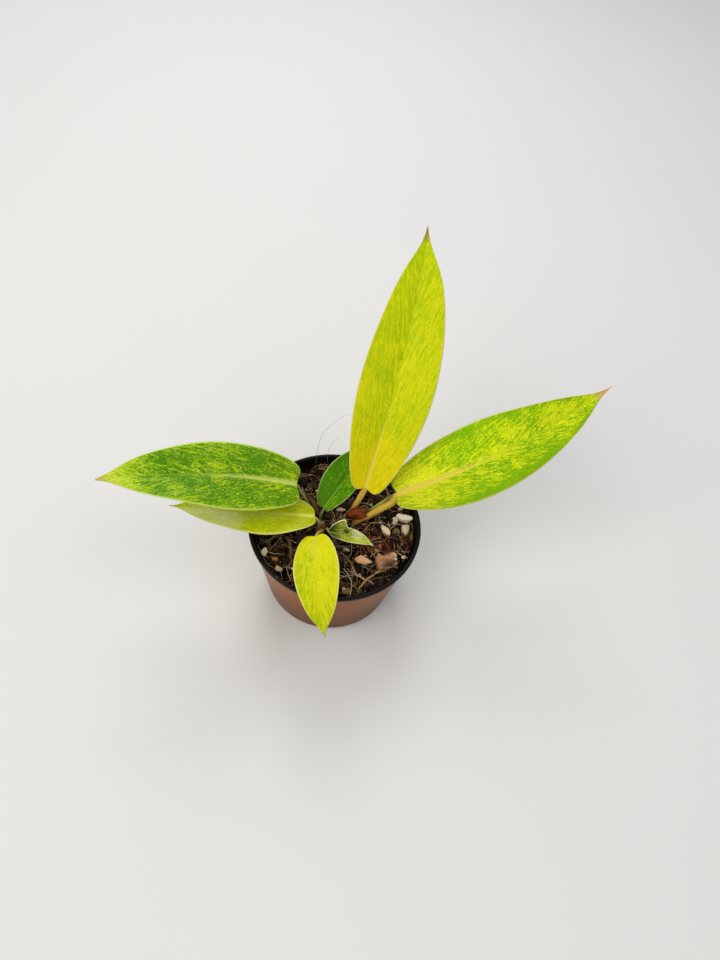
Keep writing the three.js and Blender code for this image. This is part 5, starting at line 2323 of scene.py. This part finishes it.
@dataclass(frozen=True)
class Lamp:
    """A soft square lamp."""

    name: str
    place: Point
    size: float
    power: float
    colour: str

    def build(self, aim: Point) -> None:
        """Makes the lamp.

        Args:
            aim: The point that it faces.
        """
        data = bpy.data.lights.new(self.name, "AREA")
        data.size = self.size
        data.energy = self.power
        data.color = paint(self.colour)[:3]
        lamp = bpy.data.objects.new(self.name, data)
        lamp.location = self.place
        lamp.rotation_euler = (Vector(aim) - Vector(self.place)).to_track_quat("-Z", "Y").to_euler()
        bpy.context.scene.collection.objects.link(lamp)


LAMPS = (
    Lamp("key", (-0.72, -0.62, 1.1), 0.85, 10, "#fffaf2"),
    Lamp("back", (-0.18, 0.72, 1.05), 0.55, 3.8, "#ffffff"),
    Lamp("fill", (0.42, -0.16, 1.08), 0.5, 1.7, "#f4f8ff"),
    Lamp("sheen", (-0.18, 0.92, 0.8), 0.45, 2.2, "#ffffff"),
)


@dataclass
class Stage:
    """The pale floor, the soft lights and the camera."""

    floor_size: float = 6.0
    camera_place: Point = mm(0, -217.3, 385.3)
    camera_heading: float = 87.6
    camera_dip: float = 53.33
    camera_roll: float = 9.337
    lens: float = 28.5
    sensor: float = 36.0
    nearest: float = 0.01
    aim: Point = (0.0, 0.0, 0.07)
    sky_colour: str = "#f3f4f6"
    sky_strength: float = 0.53

    def floor(self) -> None:
        """Makes the floor."""
        half = self.floor_size / 2
        corners = np.array([[-half, -half, 0], [half, -half, 0], [half, half, 0], [-half, half, 0]])
        floor = make_piece("floor", (corners, [[0, 1, 2, 3]]), FloorFinish().material(), smooth=False)
        floor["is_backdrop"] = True
        LOG.info("%s: %d face", floor.name, len(floor.data.polygons))

    def camera(self) -> None:
        """Makes the camera, at the photograph's angle and distance."""
        turn, dip = math.radians(self.camera_heading), math.radians(self.camera_dip)
        ahead = Vector((math.cos(turn) * math.cos(dip), math.sin(turn) * math.cos(dip), -math.sin(dip)))
        level = ahead.cross(Vector((0, 0, 1))).normalized()
        right = Matrix.Rotation(-math.radians(self.camera_roll), 3, ahead) @ level
        up = right.cross(ahead)
        data = bpy.data.cameras.new("camera")
        data.lens = self.lens
        data.sensor_width = self.sensor
        data.clip_start = self.nearest
        camera = bpy.data.objects.new("camera", data)
        turned = Matrix((right, up, -ahead)).transposed().to_4x4()
        camera.matrix_world = Matrix.Translation(self.camera_place) @ turned
        bpy.context.scene.collection.objects.link(camera)
        bpy.context.scene.camera = camera

    def light(self) -> None:
        """Makes the lamps and the pale surroundings."""
        for lamp in LAMPS:
            lamp.build(self.aim)
        world = bpy.data.worlds.new("surroundings")
        world.use_nodes = True
        sky = world.node_tree.nodes["Background"]
        sky.inputs["Color"].default_value = paint(self.sky_colour)
        sky.inputs["Strength"].default_value = self.sky_strength
        bpy.context.scene.world = world
        bpy.context.scene.view_settings.view_transform = "Standard"

    def build(self) -> None:
        """Makes the stage."""
        self.camera()
        self.floor()
        self.light()


def write_sizes() -> None:
    """Works out the CAD box and the dressed plant's box."""
    boxes = {"cad": CAD_BOX, "visual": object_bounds()}
    sizes = {name: [list(low), list(high)] for name, (low, high) in boxes.items()}


def main() -> None:
    """Builds the stage and the plant."""
    logging.basicConfig(level=logging.INFO, format="%(message)s")
    Stage().build()
    Pot().build()
    Mix().build()
    for stem in STEMS:
        stem.build()
    for leaf in leaves():
        leaf.build()
    Hood().build(DryFinish("cataphyll_hood", "#7a340c", "#260a02", 0.45).material())
    write_sizes()


if __name__ == "__main__":
    main()
